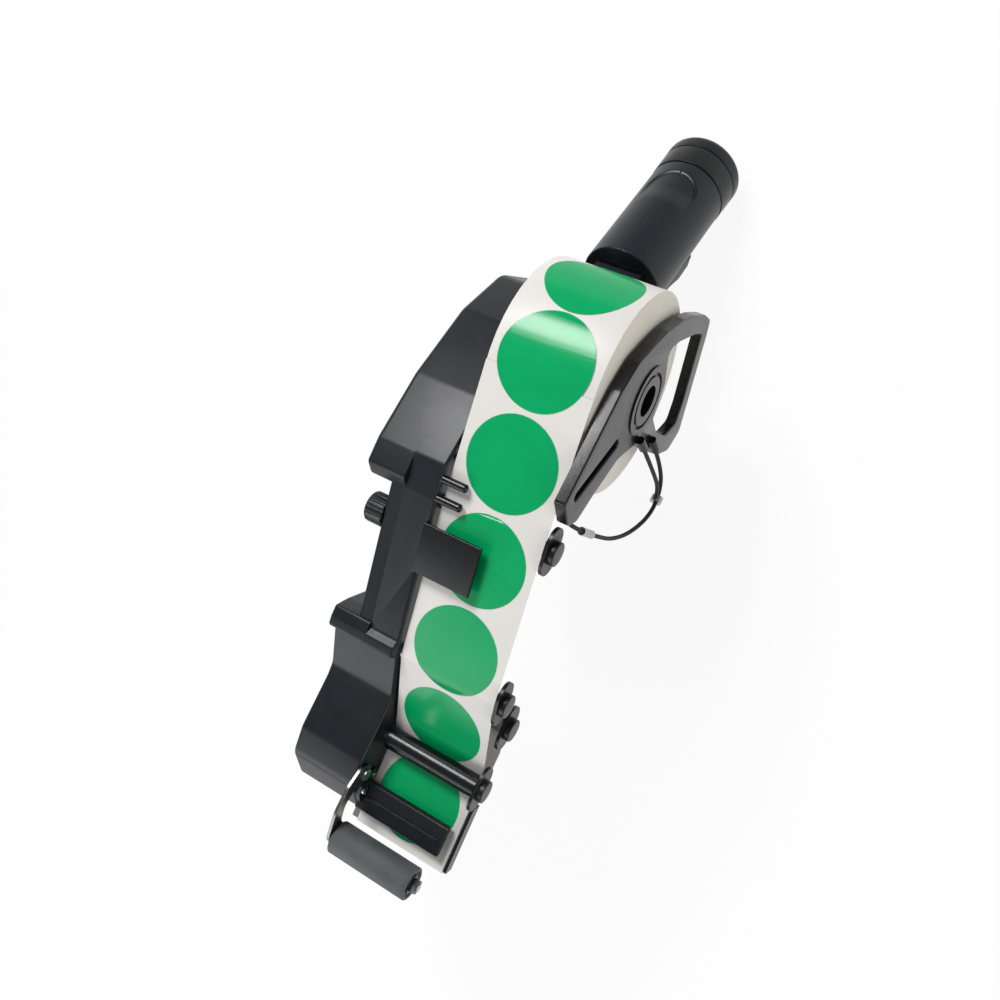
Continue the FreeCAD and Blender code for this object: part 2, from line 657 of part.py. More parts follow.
# Bar over the label plate, with a flange on the body's inner wall.
press_bar = Piece("press_bar")
lift = 3.9
section = [(-254, web_height(-254) + lift, 1), (-254, web_height(-254) + lift + 4.5, 1.2),
           (-271, web_height(-271) + lift + 4.5, 1.2), (-271, web_height(-271) + lift, 1)]
press_bar.pad([rounded([(-246, 26.2, 1.5), (-246, 31.9, 1.5), (-252.6, 32.1, 1), (-252.8, 37.6, 2), (-261, 37.2, 3),
                        (-271, 29.6), (-271, 29.25), (-254, web_height(-254) + lift, 0.5)])],
              inner_x, inner_x + 2.5)
press_bar.pad([rounded(section)], inner_x, outer_x - 6)
top = web_height(-262.5) + lift + 4.5
press_bar.pad([rounded([(-261.6, top - 1), (-261.6, top + 0.8, 0.4), (-263.4, top + 1.2, 0.4), (-263.4, top - 1)])],
              inner_x + 5, outer_x - 9)
press_bar.pocket([ring(y, z, screw_r + 0.05) for y, z in BAR_SCREWS], inner_x, inner_x + 2.5)


def screw(y, z, low, seat, head_r, head_h=1.6):
    """Pan-head screw whose head faces +X and sits on the plane x = seat."""
    solid = bar(y, z, screw_r, low, seat).fuse(bar(y, z, head_r, seat, seat + head_h))
    slot = Part.makeBox(1.0, 2 * head_r, 0.7, Vector(seat + head_h - 0.7, y - head_r, z - 0.35))
    return solid.cut(slot)


feature_part("bar_screws", Part.makeCompound([screw(y, z, inside, inner_x + 2.5, 2.2) for y, z in BAR_SCREWS]))

# Press roller on its steel arm.
press_low = inner_x + 2.3
press_high = press_low + size("press_length")
press_r = size("press_dia") / 2
arm = Piece("press_arm")
arm.pad([rounded([(-240.5, 32.5, 5), (-240.5, 43.5, 5), (-250, 52, 8), (-264, 57, 12), (-281, 56.5, 7),
                  (-289.3, 49, 6), (-287, 41, 5), (-277, 41, 5), (-273, 48.5, 6), (-262, 49.5, 8),
                  (-254.5, 45, 6), (-251.6, 32.5, 5)]), ring(PRESS[0], PRESS[1], 2.52),
         ring(ARM_ROOT[0], ARM_ROOT[1], screw_r + 0.05)], inner_x, inner_x + 2)
feature_part("arm_screw", screw(ARM_ROOT[0], ARM_ROOT[1], inside, inner_x + 2, 3.4, 1.8))
axle = Piece("press_axle", *PRESS)
axle.turn([(inner_x, 0), (press_high + 4.2, 0), (press_high + 4.2, 2.5, 0.5), (inner_x, 2.5)])
hexagon = [Vector(4.3 * math.cos(math.radians(60 * k)), 4.3 * math.sin(math.radians(60 * k)), 0) for k in range(7)]
press_nut = Piece("press_nut", *PRESS)
press_nut.pad([[Part.LineSegment(hexagon[k], hexagon[k + 1]) for k in range(6)], ring(0, 0, 2.52)],
              press_high + 0.2, press_high + 3.4)
press_core = Piece("press_core", *PRESS)
press_core.turn([(press_low, 2.56), (press_high, 2.56), (press_high, 5.5), (press_low, 5.5)])
rubber = Piece("press_roller", *PRESS)
rubber.turn([(press_low, 5.5), (press_high - 1.6, 5.5), (press_high - 1.6, press_r - 2.4), (press_high, press_r - 1.8),
             (press_high, press_r, 0.8), (press_low, press_r, 0.8)])

# Knob on the neck, with a small cam inside that limits the link's stroke.
knob = Piece("stroke_knob", *KNOB)
knob_x = neck_x - 11.5
knob.turn([(knob_x, 0), (parting_x - 0.5, 0), (parting_x - 0.5, 3.0), (neck_x - 0.3, 3.0),
           (neck_x - 0.3, 8.5, 0.8), (knob_x, 8.5, 1.2)])
grooves = []
for k in range(14):
    angle = 2 * math.pi * k / 14
    grooves.append(ring(8.9 * math.cos(angle), 8.9 * math.sin(angle), 1.1))
knob.pocket(grooves, knob_x - 1.5, neck_x - 0.2)
cam = Piece("knob_cam", *KNOB)
cam.pad([ring(0, 0.6, 4.3), ring(0, 0, 3.0)], parting_x - 5.5, parting_x - 1.5)


def gear_outline(centre, radius, module, count, phase, first=None, last=None, hub=None):
    """Toothed outline; a part gear runs from tooth first to tooth last and closes round its hub."""
    step = 2 * math.pi * module / (2 * radius)
    whole = first is None
    numbers = range(count) if whole else range(first, last + 1)
    points = []
    for k in numbers:
        angle = phase + k * step
        for r, half in ((radius - 1.2 * module, 0.31), (radius + 0.85 * module, 0.10)):
            points.append((r, angle - half * step))
        for r, half in ((radius + 0.85 * module, 0.10), (radius - 1.2 * module, 0.31)):
            points.append((r, angle + half * step))
    corners = [(centre[0] + r * math.cos(a), centre[1] + r * math.sin(a)) for r, a in points]
    if not whole:
        corners += [(centre[0] + r * math.cos(a), centre[1] + r * math.sin(a)) for r, a in hub]
    return corners


def turned_angle(first, second):
    return math.atan2(second[1] - first[1], second[0] - first[0])


# Sector gear on the link's crank pin. At rest a tooth stands on the line to the next gear.
sector_r = size("sector_radius")
crank_r = size("sector_crank")
stroke = math.radians(30)
toward = turned_angle(SECTOR, COMPOUND)
step = size("sector_module") / sector_r
sector = Piece("sector_gear", *SECTOR)
sector_x = parting_x + 3
hub_points = [(6.5, toward + 0.75), (6.5, toward - 0.35)]
outline = gear_outline((0, 0), sector_r, size("sector_module"), 0, toward, -2, 6, hub_points)
sector.pad([rounded(outline)], sector_x, sector_x + 5)
sector.pad([ring(0, 0, 7.0)], sector_x, sector_x + 5)
pin_angle = -math.pi / 2 + stroke / 2
pin_place = (crank_r * math.cos(pin_angle), crank_r * math.sin(pin_angle))
lobe = [(-6 * math.sin(pin_angle), 6 * math.cos(pin_angle)),
        (6 * math.sin(pin_angle), -6 * math.cos(pin_angle)),
        (pin_place[0] * 1.4 + 5 * math.sin(pin_angle), pin_place[1] * 1.4 - 5 * math.cos(pin_angle), 4.5),
        (pin_place[0] * 1.4 - 5 * math.sin(pin_angle), pin_place[1] * 1.4 + 5 * math.cos(pin_angle), 4.5)]
sector.pad([rounded(lobe)], sector_x, sector_x + 5)
sector.pad([ring(pin_place[0], pin_place[1], 2.5)], sector_x + 5, sector_x + 10.2)
sector.pocket([ring(0, 0, 3.05)], sector_x, sector_x + 5)
post = Piece("sector_post", *SECTOR)
post.turn([(sector_x - 1.8, 0), (inner_x - 0.8, 0), (inner_x - 0.8, 3.0), (sector_x - 0.2, 3.0),
           (sector_x - 0.2, 4.4), (sector_x - 1.8, 4.4)])

# Compound gear, drive pinion and drive roller.
small_step = 2 * math.pi / teeth
back = turned_angle(COMPOUND, SECTOR)
ahead = turned_angle(COMPOUND, DRIVE)
compound = Piece("compound_gear", *COMPOUND)
compound.pad([rounded(gear_outline((0, 0), small_r1, size("sector_module"), int(teeth), back + small_step / 2)),
              ring(0, 0, 2.55)], parting_x + 2, parting_x + 9)
compound.pad([rounded(gear_outline((0, 0), size("gear_radius"), size("gear_module"),
                                   int(2 * size("gear_radius") / size("gear_module")), ahead)),
              ring(0, 0, 2.55)], parting_x - 6, parting_x - 0.5)
compound.pad([ring(0, 0, 6.5), ring(0, 0, 2.55)], parting_x - 0.5, parting_x + 2)
post = Piece("compound_post", *COMPOUND)
post_x = parting_x - 7.8
post.turn([(post_x, 0), (inner_x - 0.8, 0), (inner_x - 0.8, 2.5), (post_x + 1.6, 2.5), (post_x + 1.6, 3.8), (post_x, 3.8)])
pinion = Piece("drive_pinion", *DRIVE)
back = turned_angle(DRIVE, COMPOUND)
pinion.pad([rounded(gear_outline((0, 0), small_r2, size("gear_module"), int(teeth), back + small_step / 2)),
            ring(0, 0, drive_r)], parting_x - 7, parting_x + 0.5)
drive_shaft = Piece("drive_shaft", *DRIVE)
shaft_x = neck_x - 3.8
drive_shaft.turn([(shaft_x, 0), (15.0, 0), (15.0, drive_r, 0.5), (shaft_x, drive_r, 0.5)])
drive_core = Piece("drive_core", *DRIVE)
drive_core.turn([(-16, drive_r), (14, drive_r), (14, 5), (-16, 5)])
drive_sleeve = Piece("drive_sleeve", *DRIVE)
drive_sleeve.turn([(-16, 5), (14, 5), (14, size("drive_roller_dia") / 2, 0.5),
                   (-16, size("drive_roller_dia") / 2, 0.5)])
pinch_shaft = Piece("pinch_shaft", *PINCH)
pinch_shaft.turn([(inside, 0), (14.5, 0), (14.5, 2.5), (inside, 2.5)])
pinch = Piece("pinch_roller", *PINCH)
pinch_x = inner_x + 3
pinch.turn([(pinch_x, 2.55), (14, 2.55), (14, size("pinch_dia") / 2, 0.4), (pinch_x, size("pinch_dia") / 2, 0.4)])

# Trigger: lever, shaft and the crank inside the housing, one turning group.
lever = Piece("trigger_lever")
finger = [along(-14.6, 27) + (4.5,), along(-19.6, 36) + (6,), along(-11.6, 46) + (7,), along(4, 43) + (8,),
          along(18, 39.9) + (10,), along(32, 44.3) + (10,), along(46, 44.2) + (10,), along(60, 48.8) + (10,),
          along(74, 48.6) + (10,), along(88, 53.3) + (10,), along(98, 53.4) + (6,), along(104, 54.5) + (4,),
          along(107, 50.5) + (2.5,), along(104, 46.6) + (1.5,), along(20, 33.2) + (10,), along(0, 29.5) + (8,)]
lever_low = grip_x - lever_half
lever_high = grip_x + lever_half
lever.pad([rounded(finger)], lever_low, lever_high)
lever.fillet(1.2, lambda edge: edge_at_x(lever_low)(edge) or edge_at_x(lever_high)(edge))
lever.pocket([ring(TRIGGER[0], TRIGGER[1], 4.0)], lever_low, lever_high)
trigger_shaft = Piece("trigger_shaft", *TRIGGER)
shaft_tip = lug_x + 5.4
crank_x = parting_x + 4
trigger_shaft.turn([(crank_x - 0.5, 0), (shaft_tip, 0), (shaft_tip, 4.0, 0.5), (crank_x - 0.5, 4.0, 0.5)])
crank_len = size("crank_length")
swing = math.radians(5)
pin_y = crank_len * math.sin(swing)
pin_z = crank_len * math.cos(swing)
crank = Piece("trigger_crank", *TRIGGER)
crank.pad([rounded([(-7, -7, 6.5), (7, -7, 6.5), (6, 8, 10), (pin_y + 5, pin_z + 5, 4.5),
                    (pin_y - 5, pin_z + 5, 4.5), (-6, 8, 10)]), ring(0, 0, 4.0)], crank_x, crank_x + 4)
crank.pad([ring(pin_y, pin_z, 2.5)], crank_x + 4, crank_x + 9.2)

# Link between the trigger's crank and the sector gear.
rear_pin = (TRIGGER[0] + pin_y, TRIGGER[1] + crank_len * math.cos(swing / 2))
front_pin = (SECTOR[0] + pin_place[0], SECTOR[1] - crank_r * math.cos(stroke / 4))
LUG_FACE = -95.0
link = Piece("drive_link")
link_outline = [(rear_pin[0] + 5.8, rear_pin[1] - 7, 2), (rear_pin[0] + 5.8, rear_pin[1] + 7, 2),
                (rear_pin[0] - 8, rear_pin[1] + 7, 4), (-18, -24, 8), (-70, 20.5, 8), (LUG_FACE + 5, 20.5, 2),
                (LUG_FACE + 5, 31.5, 1.5), (LUG_FACE, 31.5, 1), (LUG_FACE, 20.5, 2), (-104, 20.5, 8),
                (-146, front_pin[1] + 7, 8), (front_pin[0] - 6.2, front_pin[1] + 7, 2),
                (front_pin[0] - 6.2, front_pin[1] - 6, 2), (-146, front_pin[1] - 4.8, 8), (-104, 10.5, 8),
                (-74, 10.5, 8), (-22, -34.5, 8), (rear_pin[0] - 8, rear_pin[1] - 7, 4)]


def cross_slot(place, half_height):
    y, z = place
    return [(y - 2.65, z - half_height), (y + 2.65, z - half_height), (y + 2.65, z + half_height),
            (y - 2.65, z + half_height)]


thick = size("link_thick")
link_x = crank_x + 4.4
pad = link.pad([rounded(link_outline), rounded(cross_slot(rear_pin, 3.1), 2.5), rounded(cross_slot(front_pin, 3.3), 2.5)],
               link_x, link_x + thick)
link.bind(pad, "Length", "sizes.link_thick")

# Return spring between the link's lug and the body's rib.
spring_len = LUG_FACE - SPRING_STOP - 0.2
turns = 6.0
wire_r = 0.5
helix = Part.makeHelix((spring_len - 2 * wire_r) / turns, spring_len - 2 * wire_r, 3.2)
profile = Part.Wire(Part.makeCircle(wire_r, Vector(3.2, 0, 0), Vector(0, 1, 0)))
coil = Part.Wire(helix).makePipeShell([profile], True, True)
coil.rotate(Vector(0, 0, 0), Vector(1, 0, 0), -90)
coil.translate(Vector(link_x + 2, SPRING_STOP + 0.1 + wire_r, SPRING_Z))
feature_part("return_spring", coil)


DOWN = Vector(0, math.cos(GRIP_LEAN), -math.sin(GRIP_LEAN))
UP = Vector(0, math.sin(GRIP_LEAN), math.cos(GRIP_LEAN))


def grip_place(label, s):
    """Body whose X axis runs down the grip, starting at distance s along it, and whose Y axis points up."""
    piece = Piece(label)
    y, z = along(s, 0)
    piece.body.Placement = Placement(Vector(grip_x, y, z), Rotation(DOWN, UP, Vector(0, 0, 0), "XYZ"))
    return piece


# Grip: two half shells with a thumb rest, a ring and a domed cap that is a little wider than the shells.
inner_r = grip_r - wall
shell_len = size("grip_length") - 28.4
rest_y, rest_z = along(0, 0)
rest_place = Placement(Vector(grip_x, rest_y, rest_z), Rotation(Vector(1, 0, 0), DOWN, UP, "XYZ"))
rest_half = 15.5
rest_edges = rounded([(-rest_half, 43, 3), (rest_half, 43, 3), (rest_half, 71, 14.5), (-rest_half, 71, 14.5)])
patch = Part.Face(Part.Wire([edge.toShape() for edge in rest_edges])).extrude(Vector(0, 0, grip_r + 3))
patch.Placement = rest_place
sunk = Part.makeCylinder(grip_r - 0.9, 140, Vector(grip_x, rest_y, rest_z), DOWN)
patch = patch.cut(sunk)
for label, flip in (("grip_left", True), ("grip_right", False)):
    half = grip_place(label, ROOT)
    shell = half.turn([(0, 0), (0, grip_r - 0.6), (0.6, grip_r), (shell_len, grip_r), (shell_len, inner_r),
                       (3, inner_r), (3, 0)])
    shell.Angle = 180
    shell.Reversed = flip
    doc.recompute()
    finished.remove(half.body)
    half.body.Label = label + "_turned"
    solid = half.body.Shape.cut(patch)
    if solid.Volume > half.body.Shape.Volume - 10 or len(solid.Solids) != 1:
        raise RuntimeError("%s: the thumb rest did not cut" % label)
    feature_part(label, Part.makeCompound(solid.Solids))
ring_len = 16.4
grip_ring = grip_place("grip_ring", ROOT + shell_len)
grip_ring.turn([(0, inner_r - 3), (0, grip_r - 0.8), (0.8, grip_r - 0.8), (0.8, grip_r + 0.3, 0.3),
                (ring_len - 0.8, grip_r + 0.6, 0.3), (ring_len - 0.8, grip_r - 0.5), (ring_len, grip_r - 0.5),
                (ring_len, inner_r - 3)])
cap_len = size("grip_length") - shell_len - ring_len
cap = grip_place("grip_cap", ROOT + shell_len + ring_len)
cap.turn([(0, 0), (0, grip_r + 0.6, 0.3), (cap_len - 1, grip_r + 1.0, 5), (cap_len, 0)])

# Elastic cord: from a pin under the web, through a crimped sleeve, to a loop on the retainer frame.
cord_r = size("cord_dia") / 2
feature_part("cord_anchor", bar(-57, 43.5, 2.0, inside, 19.0))
CORD = [(19.0, -57.0, 43.5), (26.0, -65.0, 35.0), (32.0, -71.2, 22.2), (37.0, -76.9, -3.9), (40.0, -79.6, -21.7),
        (44.0, -76.2, -37.9), (47.0, -66.5, -54.0), (46.4, -54.0, -61.5), (44.4, -39.0, -54.4), tuple(LUG_ENDS[0][0])]
LOOP = [(46.4, -57.5, -56.7), (46.4, -50.0, -55.0), (44.4, -40.0, -40.0), tuple(LUG_ENDS[1][0])]


def cord_tube(points):
    """Tube along straight runs joined by tangent arcs."""
    points = [Vector(*point) for point in points]
    runs = [(points[i + 1] - points[i]).Length for i in range(len(points) - 1)]
    edges = []
    start = points[0]
    for i in range(1, len(points) - 1):
        back_way = (points[i - 1] - points[i]).normalize()
        on_way = (points[i + 1] - points[i]).normalize()
        turn = math.pi - back_way.getAngle(on_way)
        reach = 0.45 * min(runs[i - 1], runs[i])
        radius = reach / math.tan(turn / 2)
        enter = points[i] + back_way * reach
        leave = points[i] + on_way * reach
        bisector = (back_way + on_way).normalize()
        middle = points[i] + bisector * (radius / math.cos(turn / 2) - radius)
        edges.append(Part.LineSegment(start, enter).toShape())
        edges.append(Part.Arc(enter, middle, leave).toShape())
        start = leave
        print("cord point %d: turn %.1f, radius %.1f" % (i, math.degrees(turn), radius))
    edges.append(Part.LineSegment(start, points[-1]).toShape())
    route = Part.Wire(edges)
    total = route.Length
    heading = (points[1] - points[0]).normalize()
    profile = Part.Wire(Part.makeCircle(cord_r, points[0], heading))
    tube = route.makePipeShell([profile], True, False)
    print("cord length %.1f, volume ratio %.4f" % (total, tube.Volume / (math.pi * cord_r ** 2 * total)))
    return tube


cord = feature_part("cord", cord_tube(CORD))
loop = feature_part("cord_loop", cord_tube(LOOP))
middle = (Vector(*CORD[2]) + Vector(*CORD[3])) * 0.5
heading = (Vector(*CORD[3]) - Vector(*CORD[2])).normalize()
crimp = Part.makeCylinder(2.3, 12.0, middle - heading * 6, heading)
feature_part("crimp", crimp.cut(cord.Shape))
heading = (Vector(*CORD[7]) - Vector(*CORD[6])).normalize()
middle = Vector(46.4, -56.6, -58.7)
sleeve = Part.makeCylinder(3.4, 4.0, middle - heading * 2, heading)
feature_part("loop_sleeve", sleeve.cut(cord.Shape).cut(loop.Shape))

doc.recompute()
faults = []
for item in finished:
    shape = item.Shape
    if shape.isNull() or not shape.isValid() or "Invalid" in item.State or "Error" in item.State:
        faults.append(item.Label)
for item in doc.Objects:
    if "Invalid" in item.State or "Error" in item.State:
        faults.append(item.Label)
if faults:
    raise RuntimeError("not sound: " + ", ".join(faults))
for item in finished:
    item.Shape.exportStep(os.path.join("parts", item.Label + ".step"))
    print("%-18s solids %d volume %.1f" % (item.Label, len(item.Shape.Solids), item.Shape.Volume))
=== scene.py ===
import logging
import math
from dataclasses import dataclass, field
from enum import Enum
from typing import Optional, Union

import bmesh
import bpy
from mathutils import Matrix, Vector


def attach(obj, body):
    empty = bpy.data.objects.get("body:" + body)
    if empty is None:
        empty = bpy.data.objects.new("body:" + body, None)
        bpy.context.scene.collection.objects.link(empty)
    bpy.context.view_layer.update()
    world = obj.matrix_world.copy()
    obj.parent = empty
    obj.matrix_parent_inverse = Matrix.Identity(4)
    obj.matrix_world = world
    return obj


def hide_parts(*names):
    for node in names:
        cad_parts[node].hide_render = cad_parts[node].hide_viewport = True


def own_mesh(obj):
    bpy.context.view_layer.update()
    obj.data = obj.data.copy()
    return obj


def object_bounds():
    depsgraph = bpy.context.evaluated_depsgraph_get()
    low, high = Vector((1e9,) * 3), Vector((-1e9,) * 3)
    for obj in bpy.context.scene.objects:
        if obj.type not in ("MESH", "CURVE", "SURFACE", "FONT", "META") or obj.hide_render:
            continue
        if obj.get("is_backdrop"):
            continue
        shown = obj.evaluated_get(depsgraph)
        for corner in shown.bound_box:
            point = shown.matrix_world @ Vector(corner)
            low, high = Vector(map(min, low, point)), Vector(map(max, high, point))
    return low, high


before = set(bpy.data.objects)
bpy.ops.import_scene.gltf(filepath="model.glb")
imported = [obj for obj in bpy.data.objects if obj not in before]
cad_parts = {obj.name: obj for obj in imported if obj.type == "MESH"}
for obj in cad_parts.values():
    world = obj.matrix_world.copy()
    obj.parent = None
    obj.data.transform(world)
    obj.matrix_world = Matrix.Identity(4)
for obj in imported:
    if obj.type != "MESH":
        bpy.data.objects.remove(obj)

logging.basicConfig(level=logging.INFO, format="%(message)s")
log = logging.getLogger("label_applicator")

MM = 0.001
MERGE = 2e-6
SPUN_MERGE = 1e-7
NO_AREA = 1e-14
Number = Union[int, float]
Colour = tuple[float, float, float]
Point = tuple[float, float, float]
Route = tuple[Point, ...]
Profile = list[tuple[float, float]]


class Side(Enum):
    """Side of the grip's parting plane that a shell lies on."""

    HOUSING = -1.0
    ROLL = 1.0


class Value:
    """A shader socket that can stand in arithmetic."""

    def __init__(self, tree: bpy.types.NodeTree, socket: bpy.types.NodeSocket) -> None:
        """Keep the tree and the socket.

        Args:
            tree: node tree that the socket belongs to.
            socket: output socket of a node.
        """
        self.tree = tree
        self.socket = socket

    def math(self, operation: str, *others: Union["Value", Number], swap: bool = False) -> "Value":
        """Add a Math node on this value.

        Args:
            operation: the Math node's operation.
            others: further values or numbers.
            swap: put this value after the others.

        Returns:
            The node's result.
        """
        node = self.tree.nodes.new("ShaderNodeMath")
        node.operation = operation
        terms = [*others, self] if swap else [self, *others]
        for place, term in zip(node.inputs, terms):
            if isinstance(term, Value):
                self.tree.links.new(term.socket, place)
            else:
                place.default_value = term
        return Value(self.tree, node.outputs[0])

    def __add__(self, other: Union["Value", Number]) -> "Value":
        """Sum."""
        return self.math("ADD", other)

    __radd__ = __add__

    def __sub__(self, other: Union["Value", Number]) -> "Value":
        """Difference."""
        return self.math("SUBTRACT", other)

    def __rsub__(self, other: Number) -> "Value":
        """Difference from a number."""
        return self.math("SUBTRACT", other, swap=True)

    def __mul__(self, other: Union["Value", Number]) -> "Value":
        """Product."""
        return self.math("MULTIPLY", other)

    __rmul__ = __mul__

    def __gt__(self, other: Union["Value", Number]) -> "Value":
        """Mask of where this is the greater."""
        return self.math("GREATER_THAN", other)


class Shader:
    """A material with one surface shader and the methods that wire its nodes."""

    def __init__(self, name: str) -> None:
        """Make an empty node material.

        Args:
            name: the material's name.
        """
        self.material = bpy.data.materials.new(name)
        self.material.use_nodes = True
        self.tree = self.material.node_tree
        self.surface = self.tree.nodes["Principled BSDF"]

    def node(self, kind: str, settings: Optional[dict] = None, output: Union[int, str] = 0,
             **inputs: Union[Value, Number, tuple]) -> Value:
        """Add one node.

        Args:
            kind: node type without its ShaderNode prefix.
            settings: properties set before the inputs.
            output: the output that is wanted.
            inputs: values or links, with underscores for the spaces in a socket's name, or _0, _1 and so on
                for a socket's number.

        Returns:
            The wanted output.
        """
        node = self.tree.nodes.new("ShaderNode" + kind)
        for key, value in (settings or {}).items():
            setattr(node, key, value)
        for key, value in inputs.items():
            socket = node.inputs[int(key[1:])] if key[0] == "_" else node.inputs[key.replace("_", " ")]
            if isinstance(value, Value):
                self.tree.links.new(value.socket, socket)
            else:
                socket.default_value = value
        return Value(self.tree, node.outputs[output])

    def place(self) -> Value:
        """Object coordinates, in metres."""
        return self.node("TexCoord", output="Object")

    def stretched(self, scale: Point, turn: Point = (0.0, 0.0, 0.0)) -> Value:
        """Object coordinates scaled by axis.

        Args:
            scale: factor along each axis.
            turn: rotation in radians.

        Returns:
            The mapped coordinates.
        """
        return self.node("Mapping", Vector=self.place(), Scale=scale, Rotation=turn)

    def noise(self, vector: Value, scale: float, detail: float = 3.0, roughness: float = 0.55) -> Value:
        """Noise between 0 and 1.

        Args:
            vector: coordinates.
            scale: waves per metre.
            detail: octaves.
            roughness: share of the finer octaves.

        Returns:
            The noise.
        """
        return self.node("TexNoise", Vector=vector, Scale=scale, Detail=detail, Roughness=roughness)

    def ramp(self, value: Value, low: float, high: float) -> Value:
        """Rescale a value to 0 to 1 between two limits, with soft ends.

        Args:
            value: what is rescaled.
            low: value that gives 0.
            high: value that gives 1.

        Returns:
            The rescaled value.
        """
        soft = {"interpolation_type": "SMOOTHSTEP"}
        return self.node("MapRange", soft, Value=value, From_Min=low, From_Max=high)

    def blend(self, mask: Value, first: Union[Value, Colour], second: Union[Value, Colour]) -> Value:
        """Mix two colours.

        Args:
            mask: 0 gives the first colour and 1 the second.
            first: a colour.
            second: a colour.

        Returns:
            The mixed colour.
        """
        node = self.tree.nodes.new("ShaderNodeMix")
        node.data_type = "RGBA"
        sockets = (node.inputs["Factor"], node.inputs[6], node.inputs[7])
        for socket, term in zip(sockets, (mask, first, second)):
            if isinstance(term, Value):
                self.tree.links.new(term.socket, socket)
            else:
                socket.default_value = (*term, 1.0)
        return Value(self.tree, node.outputs[2])

    def feed(self, socket: str, value: Union[Value, Number, Colour]) -> None:
        """Set or link one of the surface shader's sockets.

        Args:
            socket: the socket's name.
            value: a link, a number or a colour.
        """
        target = self.surface.inputs[socket]
        if isinstance(value, Value):
            self.tree.links.new(value.socket, target)
        elif isinstance(value, tuple):
            target.default_value = (*value, 1.0)
        else:
            target.default_value = value

    def relief(self, height: Value, depth: float, strength: float) -> None:
        """Feed a bump to the surface.

        Args:
            height: relief between 0 and 1.
            depth: its real depth in metres.
            strength: share of the effect.
        """
        bump = self.node("Bump", Height=height, Distance=depth, Strength=strength)
        self.feed("Normal", bump)


def shade(colour: Colour, factor: float, lift: float = 0.0) -> Colour:
    """Lighter or darker tone of a colour.

    Args:
        colour: the colour.
        factor: what each channel is multiplied by.
        lift: what is added to each channel.

    Returns:
        The tone, no brighter than white.
    """
    red, green, blue = (min(1.0, channel * factor + lift) for channel in colour)
    return red, green, blue


@dataclass(frozen=True)
class MouldedPlastic:
    """Moulded plastic with a fine grain, faint handling marks and a satin sheen."""

    name: str
    colour: Colour
    roughness: float = 0.45
    grain: float = 2600.0
    depth: float = 0.00004
    rubs: Point = (30.0, 9.0, 30.0)

    def build(self) -> bpy.types.Material:
        """Make the material."""
        shader = Shader(self.name)
        place = shader.place()
        grain = shader.noise(place, self.grain, 2.0, 0.6)
        cloud = shader.ramp(shader.noise(place, 26.0, 4.0), 0.35, 0.7)
        rub = shader.ramp(shader.noise(shader.stretched(self.rubs), 9.0, 5.0, 0.7), 0.56, 0.74)
        tone = shader.blend(cloud, self.colour, shade(self.colour, 1.25, 0.001))
        shader.feed("Base Color", shader.blend(rub * 0.35, tone, shade(self.colour, 1.7, 0.004)))
        shader.feed("Roughness", self.roughness + (grain - 0.5) * 0.14 + cloud * 0.05 - rub * 0.07)
        shader.feed("Specular IOR Level", 0.32)
        shader.relief(grain, self.depth, 0.6)
        return shader.material


@dataclass(frozen=True)
class TurnedMetal:
    """Metal with fine tool marks along or round the piece, and light scratches."""

    name: str
    colour: Colour
    roughness: float = 0.28
    lines: Point = (300.0, 3000.0, 3000.0)
    cuts: Point = (90.0, 1200.0, 500.0)
    slant: Point = (0.3, 0.5, 0.9)

    def build(self) -> bpy.types.Material:
        """Make the material."""
        shader = Shader(self.name)
        marks = shader.noise(shader.stretched(self.lines), 1.0, 4.0, 0.65)
        stain = shader.ramp(shader.noise(shader.place(), 60.0, 5.0), 0.4, 0.7)
        scratch = shader.ramp(shader.noise(shader.stretched(self.cuts, self.slant), 1.0, 2.0), 0.66, 0.7)
        worn = stain * 0.6 + scratch * 0.3
        shader.feed("Base Color", shader.blend(worn, self.colour, shade(self.colour, 0.72)))
        shader.feed("Roughness", self.roughness + (marks - 0.5) * 0.22 + stain * 0.08)
        shader.feed("Metallic", 1.0)
        shader.relief(marks * 0.7 + scratch * 0.3, 0.00002, 0.5)
        return shader.material


@dataclass(frozen=True)
class CoatedMetal:
    """Metal under a dark coat that thins to a sheen where it is handled."""

    name: str
    colour: Colour
    roughness: float = 0.25
    streaks: Point = (40.0, 160.0, 160.0)

    def build(self) -> bpy.types.Material:
        """Make the material."""
        shader = Shader(self.name)
        peel = shader.noise(shader.place(), 900.0, 2.0)
        wear = shader.ramp(shader.noise(shader.stretched(self.streaks), 1.0, 5.0, 0.7), 0.6, 0.72)
        shader.feed("Base Color", shader.blend(wear * 0.5, self.colour, shade(self.colour, 2.0, 0.01)))
        shader.feed("Roughness", self.roughness + (peel - 0.5) * 0.12 - wear * 0.1)
        shader.feed("Metallic", wear * 0.2)
        shader.feed("Specular IOR Level", 0.32)
        shader.relief(peel, 0.00003, 0.5)
        return shader.material


@dataclass(frozen=True)
class SoftRubber:
    """Ground rubber: matt, with fine pits, rings from the grinding and a dusty bloom."""

    name: str
    colour: Colour
    roughness: float = 0.62
    grinding: Point = (2600.0, 60.0, 60.0)

    def build(self) -> bpy.types.Material:
        """Make the material."""
        shader = Shader(self.name)
        place = shader.place()
        pits = shader.noise(place, 3400.0, 3.0, 0.7)
        rings = shader.noise(shader.stretched(self.grinding), 1.0, 2.0)
        bloom = shader.ramp(shader.noise(place, 70.0, 5.0), 0.38, 0.7)
        shader.feed("Base Color", shader.blend(bloom * 0.6, self.colour, shade(self.colour, 1.5, 0.01)))
        shader.feed("Roughness", self.roughness + (pits - 0.5) * 0.2 + bloom * 0.1)
        shader.feed("Sheen Weight", 0.12)
        shader.relief(pits * 0.4 + rings * 0.6, 0.00004, 0.7)
        return shader.material


